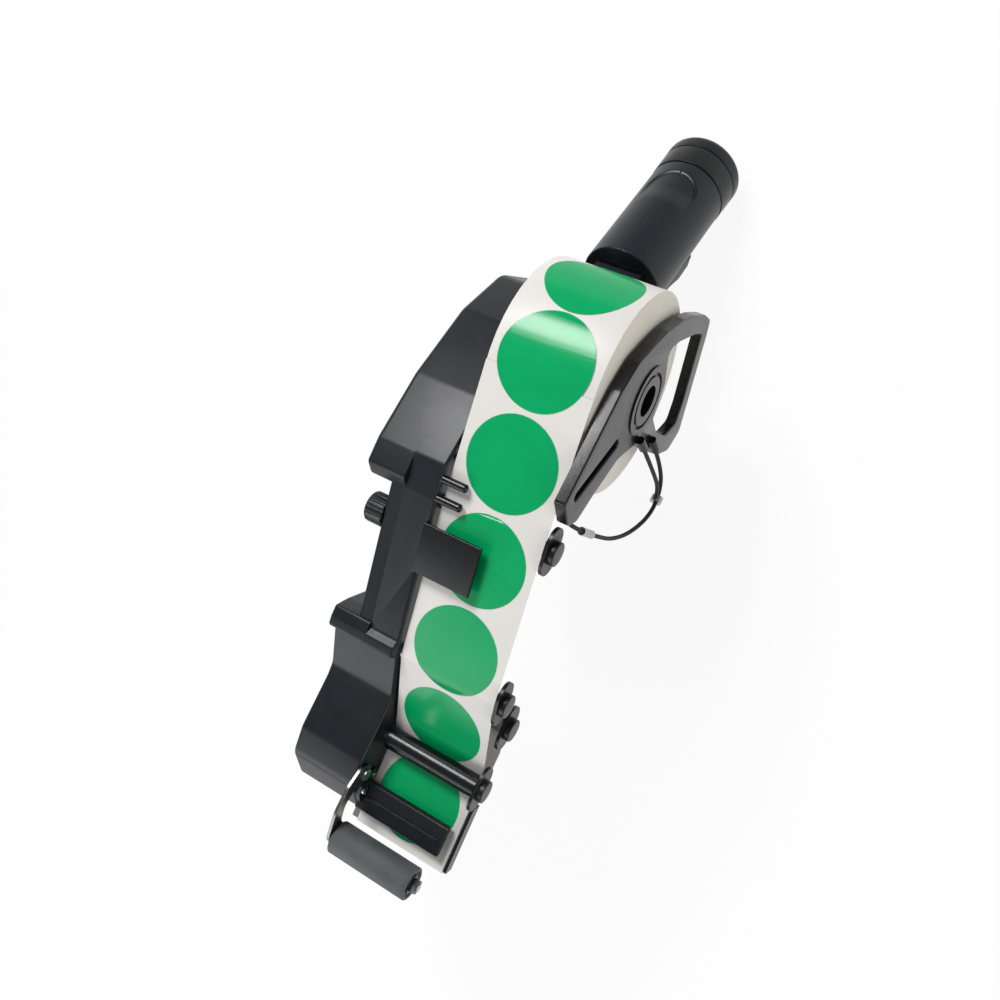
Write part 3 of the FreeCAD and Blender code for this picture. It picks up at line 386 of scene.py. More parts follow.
@dataclass(frozen=True)
class ReleasePaper:
    """Glazed liner paper: pale, a little glossy, with faint fibres, ripples and painted shade along the
    ripples.
    """

    name: str
    colour: Colour
    roughness: float = 0.4
    fibres: Point = (2200.0, 900.0, 2200.0)
    ripples: Point = (14.0, 45.0, 20.0)

    def build(self) -> bpy.types.Material:
        """Make the material."""
        shader = Shader(self.name)
        fibre = shader.noise(shader.stretched(self.fibres), 1.0, 4.0, 0.7)
        ripple = shader.noise(shader.stretched(self.ripples), 1.0, 2.0)
        # painted shade: the paper is darkened where the ripple noise runs high, so the ripples read as
        # shaded
        ripple_shade = shader.ramp(ripple, 0.3, 0.8) * 0.25
        tone = shader.blend(shader.ramp(fibre, 0.3, 0.75), self.colour, shade(self.colour, 1.06))
        shader.feed("Base Color", shader.blend(ripple_shade, tone, shade(self.colour, 0.88)))
        shader.feed("Roughness", self.roughness + (fibre - 0.5) * 0.15)
        shader.relief(fibre * 0.3 + ripple * 0.7, 0.00015, 0.35)
        return shader.material


@dataclass(frozen=True)
class WoundPaper:
    """Side of the roll: hundreds of turns of liner and label, seen on edge, with a painted shade line
    across them.
    """

    name: str
    colour: Colour
    dark: Colour
    tint: Colour
    shade_line_slope: float = 0.167
    shade_line_drop: float = 0.006
    shade_line_start: float = 0.02

    def build(self) -> bpy.types.Material:
        """Make the material."""
        shader = Shader(self.name)
        flat = shader.node("VectorMath", {"operation": "MULTIPLY"}, _0=shader.place(), _1=(0.0, 1.0, 1.0))
        radius = shader.node("VectorMath", {"operation": "LENGTH"}, output="Value", _0=flat)
        turns = shader.node("TexNoise", {"noise_dimensions": "1D"}, W=radius, Scale=2300.0, Detail=2.0)
        bands = shader.node("TexNoise", {"noise_dimensions": "1D"}, W=radius, Scale=230.0, Detail=3.0)
        cloud = shader.noise(flat, 40.0, 4.0)
        line = shader.ramp(turns, 0.35, 0.65)
        tone = shader.blend(line * 0.5, self.colour, self.dark)
        tone = shader.blend(shader.ramp(bands, 0.52, 0.68) * 0.35, tone, self.tint)
        tone = shader.blend(shader.ramp(cloud, 0.4, 0.75) * 0.2, tone, self.dark)
        # painted shade: a thin dark line across the turns of the roll's side
        shader.feed("Base Color", shader.blend(self.shade_line(shader) * 0.7, tone, self.dark))
        shader.feed("Roughness", 0.62 + (turns - 0.5) * 0.2)
        shader.relief(turns * 0.6 + bands * 0.4, 0.00025, 0.6)
        return shader.material

    def shade_line(self, shader: Shader) -> Value:
        """Mask of a thin painted shade line that runs outwards across the turns.

        Args:
            shader: the material in the making.

        Returns:
            The mask.
        """
        back = shader.node("SeparateXYZ", output=1, Vector=shader.place())
        rise = Value(shader.tree, back.socket.node.outputs[2])
        off = (rise - (back * self.shade_line_slope - self.shade_line_drop)).math("ABSOLUTE")
        return (1 - shader.ramp(off, 0.0001, 0.00045)) * (back > self.shade_line_start)


@dataclass(frozen=True)
class LabelFace:
    """Round label: coloured film with a thin cut edge and a soft gloss."""

    name: str
    colour: Colour
    edge: float = 0.985

    def build(self) -> bpy.types.Material:
        """Make the material."""
        shader = Shader(self.name)
        disc = shader.node("UVMap", {"uv_map": "disc"})
        radius = shader.node("VectorMath", {"operation": "LENGTH"}, output="Value", _0=disc)
        cut = shader.ramp(radius, self.edge, 1.0)
        film = shader.noise(shader.place(), 1500.0, 3.0)
        cloud = shader.ramp(shader.noise(shader.place(), 45.0, 3.0), 0.35, 0.7)
        tone = shader.blend(cloud * 0.5, self.colour, shade(self.colour, 0.86))
        shader.feed("Base Color", shader.blend(cut * 0.5, tone, shade(self.colour, 0.8, 0.12)))
        shader.feed("Roughness", 0.3 + (film - 0.5) * 0.12 + cloud * 0.05)
        shader.feed("Specular IOR Level", 0.0)
        shader.feed("Coat Weight", 0.5)
        shader.feed("Coat Roughness", 0.18)
        shader.relief(film, 0.00002, 0.4)
        return shader.material


@dataclass(frozen=True)
class CardTube:
    """Brown card with its fibres."""

    name: str
    colour: Colour
    fibres: Point = (900.0, 2400.0, 2400.0)

    def build(self) -> bpy.types.Material:
        """Make the material."""
        shader = Shader(self.name)
        fibre = shader.noise(shader.stretched(self.fibres), 1.0, 5.0, 0.7)
        tuft = shader.ramp(fibre, 0.3, 0.7)
        shader.feed("Base Color", shader.blend(tuft, self.colour, shade(self.colour, 0.7)))
        shader.feed("Roughness", 0.8 + (fibre - 0.5) * 0.15)
        shader.relief(fibre, 0.0001, 0.5)
        return shader.material


@dataclass(frozen=True)
class BraidedSleeve:
    """Braided cover of the elastic cord: fine knots of yarn with some fuzz, and painted highlights on the
    knots' crowns.
    """

    name: str
    colour: Colour
    highlight_and_fuzz: Colour

    def build(self) -> bpy.types.Material:
        """Make the material."""
        shader = Shader(self.name)
        place = shader.place()
        knots = shader.node("TexVoronoi", {"feature": "F1"}, Vector=place, Scale=1900.0)
        fuzz = shader.noise(place, 5200.0, 2.0)
        # painted highlight: the knots' crowns are lighter and the gaps between them darker; the same mask
        # also shapes the bump
        knot_crown_and_highlight = 1 - shader.ramp(knots, 0.1, 0.75)
        shader.feed("Base Color", shader.blend(knot_crown_and_highlight * 0.7 + fuzz * 0.2, self.colour, self.highlight_and_fuzz))
        shader.feed("Roughness", 0.72 + (fuzz - 0.5) * 0.2)
        shader.feed("Sheen Weight", 0.08)
        shader.relief(knot_crown_and_highlight * 0.8 + fuzz * 0.2, 0.0002, 0.8)
        return shader.material


@dataclass
class Palette:
    """All the finishes of the tool, made once."""

    housing: bpy.types.Material = field(init=False)
    grip: bpy.types.Material = field(init=False)
    black: bpy.types.Material = field(init=False)
    retainer: bpy.types.Material = field(init=False)
    natural: bpy.types.Material = field(init=False)
    steel: bpy.types.Material = field(init=False)
    nut: bpy.types.Material = field(init=False)
    darker_steel: bpy.types.Material = field(init=False)
    coated: bpy.types.Material = field(init=False)
    rubber: bpy.types.Material = field(init=False)
    ribbed: bpy.types.Material = field(init=False)
    liner: bpy.types.Material = field(init=False)
    wound: bpy.types.Material = field(init=False)
    card: bpy.types.Material = field(init=False)
    label: bpy.types.Material = field(init=False)
    elastic: bpy.types.Material = field(init=False)

    def __post_init__(self) -> None:
        """Build every finish."""
        self.housing = MouldedPlastic("housing_plastic", (0.0058, 0.0068, 0.0105), 0.36).build()
        self.grip = MouldedPlastic("grip_plastic", (0.0040, 0.0052, 0.0095), 0.34, 3400.0, 3e-5).build()
        self.black = MouldedPlastic("ring_plastic", (0.0042, 0.0045, 0.0055), 0.32, 3400.0, 2e-5).build()
        self.retainer = MouldedPlastic("frame_plastic", (0.0085, 0.0085, 0.009), 0.24).build()
        self.natural = MouldedPlastic("bush_plastic", (0.52, 0.51, 0.47), 0.45).build()
        self.steel = TurnedMetal("steel", (0.40, 0.40, 0.40), 0.27).build()
        self.nut = TurnedMetal("nut_steel", (0.10, 0.10, 0.105), 0.34).build()
        # a darker tone of the steel, used for the press arm
        self.darker_steel = TurnedMetal("arm_steel", (0.20, 0.20, 0.195), 0.3).build()
        self.coated = CoatedMetal("dark_metal", (0.0048, 0.0054, 0.0074)).build()
        self.rubber = SoftRubber("press_rubber", (0.058, 0.062, 0.068)).build()
        self.ribbed = SoftRubber("press_ribbed", (0.058, 0.062, 0.068), 0.55).build()
        self.liner = ReleasePaper("liner_paper", (0.68, 0.66, 0.63)).build()
        self.wound = WoundPaper("wound_paper", colour=(0.78, 0.75, 0.67), dark=(0.58, 0.54, 0.45),
                                tint=(0.60, 0.66, 0.55)).build()
        self.card = CardTube("core_card", (0.42, 0.31, 0.2)).build()
        self.label = LabelFace("label_face", (0.0, 0.345, 0.110)).build()
        self.elastic = BraidedSleeve("elastic", (0.004, 0.004, 0.005), (0.014, 0.014, 0.016)).build()


class Piece:
    """A shown piece that stands for CAD nodes and rides on a body."""

    def __init__(self, name: str, body: str, slot: str, finish: bpy.types.Material) -> None:
        """Start an empty piece.

        Args:
            name: the object's name.
            body: the CAD body that it rides on.
            slot: the record's material slot; not used.
            finish: its material.
        """
        self.name = name
        self.body = body
        self.slot = slot
        self.finish = finish

    def from_mesh(self, bm: bmesh.types.BMesh, sharp: float = 32.0) -> bpy.types.Object:
        """Make the object from a finished bmesh.

        Args:
            bm: the mesh, which is freed.
            sharp: angle in degrees above which an edge shows.

        Returns:
            The object.
        """
        mesh = bpy.data.meshes.new(self.name)
        bm.to_mesh(mesh)
        bm.free()
        mesh.polygons.foreach_set("use_smooth", [True] * len(mesh.polygons))
        mesh.set_sharp_from_angle(angle=math.radians(sharp))
        mesh.materials.append(self.finish)
        obj = bpy.data.objects.new(self.name, mesh)
        bpy.context.scene.collection.objects.link(obj)
        return self.declare(obj)

    def declare(self, obj: bpy.types.Object, *nodes: str) -> bpy.types.Object:
        """Tie the object to its body.

        Args:
            obj: the object.
            nodes: CAD nodes that it stands for.

        Returns:
            The object.
        """
        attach(obj, self.body)
        if nodes:
            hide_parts(*nodes)
        return obj


def copied(node: str, dissolve: float = 0.6) -> bmesh.types.BMesh:
    """Merged copy of a CAD node's mesh with its flat faces made whole.

    Args:
        node: the CAD node's name.
        dissolve: angle in degrees under which faces are joined.

    Returns:
        The mesh.
    """
    bm = bmesh.new()
    bm.from_mesh(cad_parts[node].data)
    bmesh.ops.remove_doubles(bm, verts=bm.verts, dist=MERGE)
    bmesh.ops.dissolve_limit(bm, angle_limit=math.radians(dissolve), verts=bm.verts, edges=bm.edges)
    return bm


def soften(obj: bpy.types.Object, width: float, segments: int = 2, angle: float = 35.0) -> None:
    """Round a piece's sharp edges a little.

    Args:
        obj: the piece.
        width: size of the rounding in millimetres.
        segments: steps of the rounding.
        angle: smallest angle in degrees that counts as an edge.
    """
    bevel = obj.modifiers.new("edge", "BEVEL")
    bevel.width = width * MM
    bevel.segments = segments
    bevel.limit_method = "ANGLE"
    bevel.angle_limit = math.radians(angle)
    bevel.harden_normals = True
    bevel.use_clamp_overlap = True


@dataclass
class CutParts:
    """Pieces whose flat faces and cut edges come straight from the solid model."""

    palette: Palette
    spring_foot: Point = (-0.0396, -0.123, 0.027)
    spring_keeps: float = 0.74

    def add(self, body: str, slot: str, finish: bpy.types.Material, width: float,
            *nodes: str) -> list[bpy.types.Object]:
        """Dress several nodes alike.

        Args:
            body: the CAD body they ride on.
            slot: the record's material slot.
            finish: their material.
            width: rounding of their edges in millimetres, or 0.
            nodes: the CAD nodes.

        Returns:
            The pieces.
        """
        made = []
        for node in nodes:
            piece = Piece(node + "_skin", body, slot, finish)
            obj = piece.from_mesh(copied(node))
            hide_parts(node)
            if width > 0:
                soften(obj, width)
            made.append(obj)
            log.info("cut part %s", node)
        return made

    def fixed(self) -> None:
        """Dress the pieces that stay with the housing."""
        look = self.palette
        self.add("housing", "housing_plastic", look.housing, 0.35, "main_body", "side_cover", "press_bar")
        self.add("housing", "frame_plastic", look.retainer, 0.3, "retainer_frame")
        self.add("housing", "frame_plastic", look.retainer, 0.2, "roll_spindle")
        self.add("housing", "dark_metal", look.coated, 0.2, "hold_down_plate", "edge_wall", "guide_prongs")
        self.add("housing", "ring_plastic", look.black, 0.3, "guide_collars", "front_collar")
        self.add("housing", "steel", look.steel, 0.15, "label_plate", "spindle_nut", "cover_screws",
                 "bar_screws", "arm_screw")
        self.add("housing", "steel", look.darker_steel, 0.25, "press_arm")
        self.add("housing", "steel", look.nut, 0.2, "press_nut")
        self.add("housing", "steel", look.steel, 0.0, "guide_shafts", "front_shaft", "press_axle",
                 "sector_post", "compound_post", "pinch_shaft", "cord_anchor", "crimp", "loop_sleeve")
        self.add("housing", "bush_plastic", look.natural, 0.0, "trigger_bush", "drive_bush")
        self.add("housing", "liner_paper", look.liner, 0.0, "label_web")

    def moving(self) -> None:
        """Dress the trigger, the drive and the return spring, which gets a mesh of its own."""
        look = self.palette
        self.add("trigger", "grip_plastic", look.grip, 0.3, "trigger_lever")
        self.add("trigger", "steel", look.steel, 0.0, "trigger_shaft")
        self.add("trigger", "bush_plastic", look.natural, 0.2, "trigger_crank")
        self.add("link", "bush_plastic", look.natural, 0.2, "drive_link")
        self.add("sector", "bush_plastic", look.natural, 0.1, "sector_gear")
        self.add("compound", "bush_plastic", look.natural, 0.1, "compound_gear")
        self.add("drive", "bush_plastic", look.natural, 0.1, "drive_pinion", "drive_core")
        self.add("drive", "steel", look.steel, 0.0, "drive_shaft")
        self.add("pinch", "bush_plastic", look.natural, 0.2, "pinch_roller")
        spring, = self.add("housing", "steel", look.steel, 0.0, "return_spring")
        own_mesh(spring)

    def build(self) -> None:
        """Dress every cut piece."""
        self.fixed()
        self.moving()


@dataclass
class Turned:
    """Lathe for round pieces: a profile of distance and radius, spun about an axis across the web."""

    origin: Vector
    steps: int = 96

    def spin(self, profile: Profile) -> bmesh.types.BMesh:
        """Spin a closed profile.

        Args:
            profile: (distance along the axis, radius) in millimetres, in order round the section.

        Returns:
            The closed mesh in the row frame.
        """
        bm = bmesh.new()
        verts = [bm.verts.new((along * MM, radius * MM, 0.0)) for along, radius in profile]
        edges = [bm.edges.new((verts[i], verts[(i + 1) % len(verts)])) for i in range(len(verts))]
        bmesh.ops.spin(bm, geom=verts + edges, cent=(0, 0, 0), axis=(1, 0, 0), angle=2 * math.pi,
                       steps=self.steps, use_merge=True, use_duplicate=False)
        bmesh.ops.remove_doubles(bm, verts=bm.verts, dist=SPUN_MERGE)
        degenerate = [face for face in bm.faces if face.calc_area() < NO_AREA]
        bmesh.ops.delete(bm, geom=degenerate, context="FACES_ONLY")
        bmesh.ops.recalc_face_normals(bm, faces=bm.faces)
        bmesh.ops.translate(bm, verts=bm.verts, vec=self.origin * MM)
        return bm


@dataclass
class LabelSupply:
    """The roll of labels: wound paper, its card core, the labels round it and those on the web."""

    palette: Palette
    half_width: float = 29.5
    radius: float = 55.0
    core: float = 18.1
    bore: float = 15.1
    edge: float = 0.5
    edge_middle: float = 0.12
    label_radius: float = 25.0
    roll_steps: int = 160

    def rolled(self) -> bpy.types.Object:
        """The wound paper, with its outer edges a little rounded."""
        side, rim = self.half_width, self.radius
        edge, middle = self.edge, self.edge_middle
        bm = Turned(Vector(), self.roll_steps).spin([
            (-side, self.core), (side, self.core), (side, rim - edge), (side - middle, rim - middle),
            (side - edge, rim), (edge - side, rim), (middle - side, rim - middle), (-side, rim - edge)])
        piece = Piece("wound_roll", "label_supply", "liner_paper", self.palette.wound)
        obj = piece.from_mesh(bm)
        obj.data.materials.append(self.palette.liner)
        for face in obj.data.polygons:
            if face.center.yz.length > (rim - 0.2) * MM:
                face.material_index = 1
        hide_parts("label_roll")
        return obj

    def tube(self) -> bpy.types.Object:
        """The card core."""
        side = self.half_width
        section = [(-side, self.bore), (side, self.bore), (side, self.core), (-side, self.core)]
        bm = Turned(Vector()).spin(section)
        obj = Piece("core_tube", "label_supply", "core_card", self.palette.card).from_mesh(bm)
        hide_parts("roll_core")
        return obj

    def discs(self, node: str, body: str) -> bpy.types.Object:
        """Round labels with a map of each disc's own radius.

        Args:
            node: the CAD node that holds the labels.
            body: the body they ride on.

        Returns:
            The labels as one object.
        """
        bm = copied(node, 0.2)
        layer = bm.loops.layers.uv.new("disc")
        left = set(bm.faces)
        while left:
            island = set()
            stack = [left.pop()]
            while stack:
                face = stack.pop()
                island.add(face)
                for edge in face.edges:
                    for other in edge.link_faces:
                        if other in left:
                            left.remove(other)
                            stack.append(other)
            self.map_disc(island, layer)
        obj = Piece(node + "_skin", body, "label_face", self.palette.label).from_mesh(bm)
        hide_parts(node)
        return obj

    def map_disc(self, island: set[bmesh.types.BMFace], layer: bmesh.types.BMLayerItem) -> None:
        """Write one disc's flat coordinates.

        Args:
            island: faces of the disc.
            layer: the map that is written.
        """
        points = [vert.co for face in island for vert in face.verts]
        ends = [min(points, key=lambda p: p.y), max(points, key=lambda p: p.y),
                min(points, key=lambda p: p.z), max(points, key=lambda p: p.z)]
        pair = max(((a, b) for a in ends for b in ends), key=lambda ab: (ab[0] - ab[1]).yz.length)
        centre = (pair[0] + pair[1]) / 2
        along = Vector((0, *(pair[1] - pair[0]).yz)).normalized()
        span = (pair[1] - pair[0]).yz.length / 2
        for face in island:
            for loop in face.loops:
                offset = loop.vert.co - centre
                loop[layer].uv = (loop.vert.co.x / (self.label_radius * MM), offset.dot(along) / span)

    def build(self) -> None:
        """Build the supply."""
        self.rolled()
        self.tube()
        self.discs("roll_labels", "label_supply")
        self.discs("web_labels", "housing")
        log.info("label supply built")


@dataclass
class Rollers:
    """Press roller, front roller and the drive roller's sleeve."""

    palette: Palette
    press: Point = (0, -282.8, 47.5)
    front: Point = (0, -227.0, 22.3)
    drive: Point = (0, -213.0, -6.0)
    press_ends: tuple[float, float] = (-28.7, 22.8)
    press_bore: float = 2.56
    press_core: float = 5.5
    press_radius: float = 9.5
    ribs: int = 60
    rib_depth: float = 0.14
    rib_start: float = 9.1
    front_ends: tuple[float, float] = (-28.0, 30.6)
    front_bore: float = 3.05
    front_radius: float = 6.5
    front_edge: float = 0.3
    drive_ends: tuple[float, float] = (-16.0, 14.0)
    drive_bore: float = 5.0
    drive_radius: float = 8.0
    drive_edge: float = 0.5

    def flute(self, bm: bmesh.types.BMesh) -> None:
        """Press fine lengthwise ribs into the press roller's tread.

        Args:
            bm: the roller's mesh.
        """
        centre = Vector(self.press).yz * MM
        for vert in bm.verts:
            arm = vert.co.yz - centre
            if arm.length > self.rib_start * MM:
                wave = 0.5 - 0.5 * math.cos(math.atan2(arm.y, arm.x) * self.ribs)
                arm *= 1 - self.rib_depth * MM * wave / arm.length
                vert.co.y, vert.co.z = centre + arm

    def sleeve(self) -> Profile:
        """Section of the press roller's rubber, whose free end is dished round the core."""
        low, high = self.press_ends
        core, rim = self.press_core, self.press_radius
        return [(low, core), (high - 1.6, core), (high - 1.6, 7.1), (high - 0.9, 7.5), (high - 0.15, 7.9),
                (high, 8.3), (high, 8.8), (high - 0.25, rim - 0.25), (high - 0.8, rim), (low + 0.8, rim),
                (low + 0.25, rim - 0.25), (low, 8.7)]

    def hub(self) -> Profile:
        """Section of the press roller's core."""
        low, high = self.press_ends
        bore, core = self.press_bore, self.press_core
        return [(low, bore), (high, bore), (high, core - 0.3), (high - 0.3, core), (low, core)]

    def plain(self, ends: tuple[float, float], bore: float, radius: float, edge: float) -> Profile:
        """Section of a plain roller with broken edges.

        Args:
            ends: its two ends along the axis.
            bore: radius of its bore.
            radius: radius of its tread.
            edge: size of the broken edges.

        Returns:
            The section.
        """
        low, high = ends
        return [(low, bore), (high, bore), (high, radius - edge), (high - edge, radius),
                (low + edge, radius), (low, radius - edge)]

    def build(self) -> None:
        """Build the rollers."""
        look = self.palette
        sleeve = Turned(Vector(self.press), steps=self.ribs * 4).spin(self.sleeve())
        self.flute(sleeve)
        hub = Turned(Vector(self.press)).spin(self.hub())
        front = Turned(Vector(self.front)).spin(
            self.plain(self.front_ends, self.front_bore, self.front_radius, self.front_edge))
        drive = Turned(Vector(self.drive)).spin(
            self.plain(self.drive_ends, self.drive_bore, self.drive_radius, self.drive_edge))
        for bm, name, node, body, slot, finish in (
                (sleeve, "press_sleeve", "press_roller", "press_wheel", "press_rubber", look.ribbed),
                (hub, "press_hub", "press_core", "press_wheel", "bush_plastic", look.black),
                (front, "front_roll", "front_roller", "front_wheel", "dark_metal", look.coated),
                (drive, "drive_rubber", "drive_sleeve", "drive", "press_rubber", look.rubber)):
            obj = Piece(name, body, slot, finish).from_mesh(bm)
            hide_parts(node)
        log.info("rollers built")


@dataclass
class Knob:
    """Fluted knob on the housing's neck, with its cam."""

    palette: Palette
    knob_edge: float = 0.25
    cam_edge: float = 0.2

    def build(self) -> None:
        """Build the knob."""
        look = self.palette
        for node, finish, slot, width in (
                ("stroke_knob", look.housing, "housing_plastic", self.knob_edge),
                ("knob_cam", look.black, "ring_plastic", self.cam_edge)):
            obj = Piece(node + "_skin", "knob", slot, finish).from_mesh(copied(node))
            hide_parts(node)
            soften(obj, width)
        log.info("knob built")


def smooth(value: float) -> float:
    """Soft step from 0 to 1.

    Args:
        value: 0 or less gives 0, and 1 or more gives 1.

    Returns:
        The step's height.
    """
    share = min(max(value, 0.0), 1.0)
    return share * share * (3 - 2 * share)


@dataclass
class Grip:
    """Round grip: two shells with a sunk thumb rest, a ring and a domed cap."""

    palette: Palette
    start: Point = (-18.0, 54.4, -60.4)
    down: Point = (0.0, 0.7242, -0.6896)
    up: Point = (0.0, 0.6896, 0.7242)
    root: float = -4.0
    length: float = 83.2
    radius: float = 23.5
    wall: float = 2.5
    floor: float = 3.0
    root_edge: float = 0.6
    seam_edge: float = 0.15
    seam_angle: float = 0.008
    rows: int = 138
    steps: int = 110
    rest_middle: float = 57.0
    rest_half_length: float = 14.0
    rest_half_width: float = 15.5
    rest_round: float = 14.5
    rest_corner: float = 3.0
    rest_depth: float = 0.9
    rest_slope: float = 1.1
    rest_fade: tuple[float, float] = (43.0, 58.0)

    def sunk(self, along: float, across: float) -> float:
        """Depth of the thumb rest, a D that is deepest at its round side and fades out towards the root.

        Args:
            along: distance along the grip in millimetres.
            across: distance to the side of the grip's middle.

        Returns:
            The depth in millimetres.
        """
        corner = self.rest_round if along > self.rest_middle else self.rest_corner
        beside = abs(across) - self.rest_half_width + corner
        beyond = abs(along - self.rest_middle) - self.rest_half_length + corner
        outside = math.hypot(max(beside, 0.0), max(beyond, 0.0)) + min(max(beside, beyond), 0.0) - corner
        low, high = self.rest_fade
        return self.rest_depth * smooth(-outside / self.rest_slope) * smooth((along - low) / (high - low))

    def section(self) -> Profile:
        """The shell's section as (distance along the grip, radius), outside first."""
        rim, edge, length = self.radius, self.root_edge, self.length
        tread = [(edge + (length - 0.8) * k / self.rows, rim) for k in range(1, self.rows)]
        inside = rim - self.wall
        return [(0.0, 0.0), (0.0, rim - edge), (0.2, rim - 0.2), (edge, rim), *tread,
                (length - self.seam_edge, rim), (length, rim - self.seam_edge),
                (length, inside), (self.floor, inside), (self.floor, 0.0)]

    def row(self, bm: bmesh.types.BMesh, along: float, radius: float,
            side: Side) -> list[bmesh.types.BMVert]:
        """Points of one half turn round the grip, or its middle as often where the radius is 0.

        Args:
            bm: the mesh that gets them.
            along: distance from the shell's root end.
            radius: distance from the grip's axis.
            side: the side that the half turn lies on.

        Returns:
            The points, from the seam on top to the one below.
        """
        turns = [math.pi * k / self.steps for k in range(1, self.steps)]
        angles = [0.0, self.seam_angle, *turns, math.pi - self.seam_angle, math.pi]
        down, up = Vector(self.down), Vector(self.up)
        along += self.root
        middle = Vector(self.start) + down * along
        if radius == 0:
            return [bm.verts.new(middle * MM)] * len(angles)
        points = []
        for angle in angles:
            reach = radius
            if radius > self.radius - 1:
                reach -= self.seam_edge if angle in (0.0, math.pi) else 0.0
                reach -= self.sunk(along, radius * math.sin(angle)) if angle < math.pi / 2 else 0.0
            across = Vector((side.value * reach * math.sin(angle), 0, 0))
            points.append(bm.verts.new((middle + across + up * (reach * math.cos(angle))) * MM))
        return points

    def half(self, node: str, side: Side) -> bpy.types.Object:
        """One half shell, closed at its seams.

        Args:
            node: the CAD node that it stands for.
            side: the side that it lies on.

        Returns:
            The shell.
        """
        bm = bmesh.new()
        grid = [self.row(bm, along, radius, side) for along, radius in self.section()]
        for first, second in zip(grid, grid[1:]):
            for k in range(len(first) - 1):
                corners = list(dict.fromkeys((first[k], second[k], second[k + 1], first[k + 1])))
                if len(corners) > 2:
                    bm.faces.new(corners)
        for k in (0, -1):
            bm.faces.new([row[k] for row in grid])
        bmesh.ops.recalc_face_normals(bm, faces=bm.faces)
        obj = Piece(node + "_skin", "housing", "grip_plastic", self.palette.grip).from_mesh(bm, 50.0)
        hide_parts(node)
        return obj

    def build(self) -> None:
        """Build the grip."""
        self.half("grip_left", Side.HOUSING)
        self.half("grip_right", Side.ROLL)
        for node, finish, slot in (("grip_ring", self.palette.black, "ring_plastic"),
                                   ("grip_cap", self.palette.grip, "grip_plastic")):
            obj = Piece(node + "_skin", "housing", slot, finish).from_mesh(copied(node))
            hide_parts(node)
            soften(obj, 0.25)
        log.info("grip built")


@dataclass
class Cord:
    """Elastic cord from the pin under the web to the frame, and its loop."""

    palette: Palette
    diameter: float = 2.4
    main_length: float = 0.159
    loop_length: float = 0.0535
    main: Route = ((19.0, -57.0, 43.5), (26.0, -65.0, 35.0), (32.0, -71.2, 22.2), (37.0, -76.9, -3.9),
                   (40.0, -79.6, -21.7), (44.0, -76.2, -37.9), (47.0, -66.5, -54.0), (46.4, -54.0, -61.5),
                   (44.4, -39.0, -54.4), (40.4, -27.4, -39.4))
    loop: Route = ((46.4, -57.5, -56.7), (46.4, -50.0, -55.0), (44.4, -40.0, -40.0), (40.4, -25.8, -16.1))

    def strand(self, name: str, points: Route) -> bpy.types.Object:
        """One length of cord on a smooth line.

        Args:
            name: the object's name.
            points: the route's points in millimetres.

        Returns:
            The curve object.
        """
        curve = bpy.data.curves.new(name, "CURVE")
        curve.dimensions = "3D"
        curve.bevel_depth = self.diameter / 2 * MM
        curve.bevel_resolution = 5
        curve.resolution_u = 10
        curve.use_fill_caps = True
        line = curve.splines.new("NURBS")
        line.points.add(len(points) - 1)
        for point, where in zip(line.points, points):
            point.co = (*(c * MM for c in where), 1.0)
        line.order_u = 3
        line.use_endpoint_u = True
        curve.materials.append(self.palette.elastic)
        obj = bpy.data.objects.new(name, curve)
        bpy.context.scene.collection.objects.link(obj)
        return obj

    def build(self) -> None:
        """Build and declare both lengths."""
        for name, node, points, length in (
                ("elastic_cord", "cord", self.main, self.main_length),
                ("elastic_loop", "cord_loop", self.loop, self.loop_length)):
            obj = self.strand(name, points)
            piece = Piece(name, "housing", "elastic", self.palette.elastic)
            piece.declare(obj, node)
            log.info("%s laid", name)


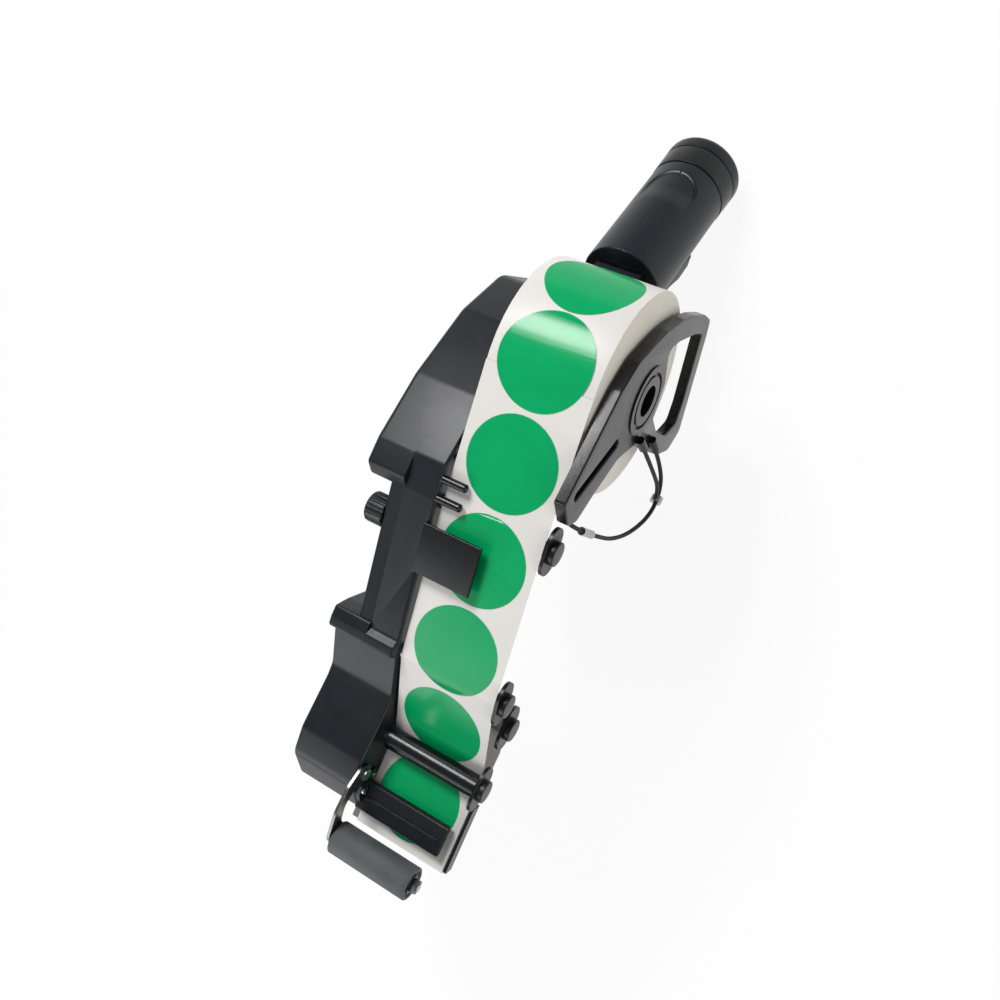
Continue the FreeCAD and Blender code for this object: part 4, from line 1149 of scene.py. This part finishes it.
@dataclass
class Studio:
    """Floor, lights and the camera at the photograph's angle."""

    centre: Point = (0.0, -0.1, -0.02)
    floor_z: float = -0.145
    floor_half: float = 6.0
    floor_glow: float = 0.9
    world_low: float = 0.24
    world_gloss: float = 0.1
    eye: Point = (0.1796, 0.0514, 0.4935)
    right: Point = (0.847, 0.315, -0.428)
    back: Point = (0.366, 0.239, 0.900)
    sensor: float = 36.0
    lens: float = 35.906

    def seen(self, tree: bpy.types.NodeTree, gloss: float = 1.0) -> Value:
        """Mask of the rays that see the background: the camera's, reflected and let through.

        Args:
            tree: the node tree that gets the mask.
            gloss: share that reflected rays have in it.

        Returns:
            The mask.
        """
        rays = tree.nodes.new("ShaderNodeLightPath").outputs
        reflected = Value(tree, rays["Is Glossy Ray"]) * gloss
        mask = Value(tree, rays["Is Camera Ray"]).math("MAXIMUM", reflected)
        return mask.math("MAXIMUM", Value(tree, rays["Is Transmission Ray"]))

    def floor(self) -> None:
        """Pale floor that is white to the camera where no shadow falls."""
        bm = bmesh.new()
        bmesh.ops.create_grid(bm, x_segments=1, y_segments=1, size=self.floor_half)
        bmesh.ops.translate(bm, verts=bm.verts, vec=(0, 0, self.floor_z))
        mesh = bpy.data.meshes.new("floor")
        bm.to_mesh(mesh)
        bm.free()
        shader = Shader("floor_paint")
        mottle = shader.noise(shader.place(), 3.0)
        shader.feed("Base Color", shader.blend(mottle * 0.1, (0.9, 0.9, 0.9), (0.86, 0.86, 0.86)))
        shader.feed("Roughness", 0.9)
        tree = shader.tree
        white = tree.nodes.new("ShaderNodeEmission")
        white.inputs["Color"].default_value = (1, 1, 1, 1)
        white.inputs["Strength"].default_value = 1.0
        mix = tree.nodes.new("ShaderNodeMixShader")
        tree.links.new((self.seen(tree) * self.floor_glow).socket, mix.inputs["Fac"])
        tree.links.new(shader.surface.outputs[0], mix.inputs[1])
        tree.links.new(white.outputs[0], mix.inputs[2])
        tree.links.new(mix.outputs[0], tree.nodes["Material Output"].inputs["Surface"])
        mesh.materials.append(shader.material)
        obj = bpy.data.objects.new("floor", mesh)
        bpy.context.scene.collection.objects.link(obj)
        obj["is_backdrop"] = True

    def lamp(self, name: str, place: Point, size: float, power: float) -> None:
        """Soft square lamp aimed at the tool.

        Args:
            name: the lamp's name.
            place: where it stands, in metres.
            size: length of its side.
            power: its power in watts.
        """
        data = bpy.data.lights.new(name, "AREA")
        data.shape = "SQUARE"
        data.size = size
        data.energy = power
        obj = bpy.data.objects.new(name, data)
        obj.location = place
        obj.rotation_mode = "QUATERNION"
        obj.rotation_quaternion = (Vector(self.centre) - Vector(place)).to_track_quat("-Z", "Y")
        bpy.context.scene.collection.objects.link(obj)

    def lights(self) -> None:
        """Key, fill and side lamps with an even world."""
        self.lamp("key", (-0.42, 0.68, 0.86), 0.38, 12.5)
        self.lamp("fill", (-0.5, -1.2, 0.7), 1.0, 9.0)
        self.lamp("side", (1.1, -0.3, 0.4), 0.9, 5.2)
        world = bpy.data.worlds.new("even_light")
        world.use_nodes = True
        tree = world.node_tree
        back = tree.nodes["Background"]
        back.inputs["Color"].default_value = (1, 1, 1, 1)
        strength = self.seen(tree, self.world_gloss) * (1 - self.world_low) + self.world_low
        tree.links.new(strength.socket, back.inputs["Strength"])
        bpy.context.scene.world = world

    def camera(self) -> None:
        """Camera at the photograph's place, as fitted to the round labels."""
        back = Vector(self.back).normalized()
        up = back.cross(Vector(self.right)).normalized()
        right = up.cross(back).normalized()
        data = bpy.data.cameras.new("camera")
        data.sensor_width = self.sensor
        data.lens = self.lens
        data.clip_start = 0.01
        data.clip_end = 50.0
        obj = bpy.data.objects.new("camera", data)
        turn = Matrix((right, up, back)).transposed().to_4x4()
        obj.matrix_world = Matrix.Translation(self.eye) @ turn
        bpy.context.scene.collection.objects.link(obj)
        bpy.context.scene.camera = obj
        bpy.context.scene.view_settings.view_transform = "Standard"

    def build(self) -> None:
        """Set the stage."""
        self.floor()
        self.lights()
        self.camera()
        log.info("studio set")


def note_size(sizes: dict, key: str) -> None:
    """Record the shown object's bounds.

    Args:
        sizes: the record that gets the bounds.
        key: name of this entry.
    """
    low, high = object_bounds()
    sizes[key] = [list(low), list(high)]


def main() -> None:
    """Build the dressed tool and its stage."""
    sizes: dict = {}
    note_size(sizes, "loaded")
    Studio().build()
    palette = Palette()
    CutParts(palette).build()
    LabelSupply(palette).build()
    Rollers(palette).build()
    Knob(palette).build()
    Grip(palette).build()
    Cord(palette).build()
    note_size(sizes, "finished")


if __name__ == "__main__":
    main()
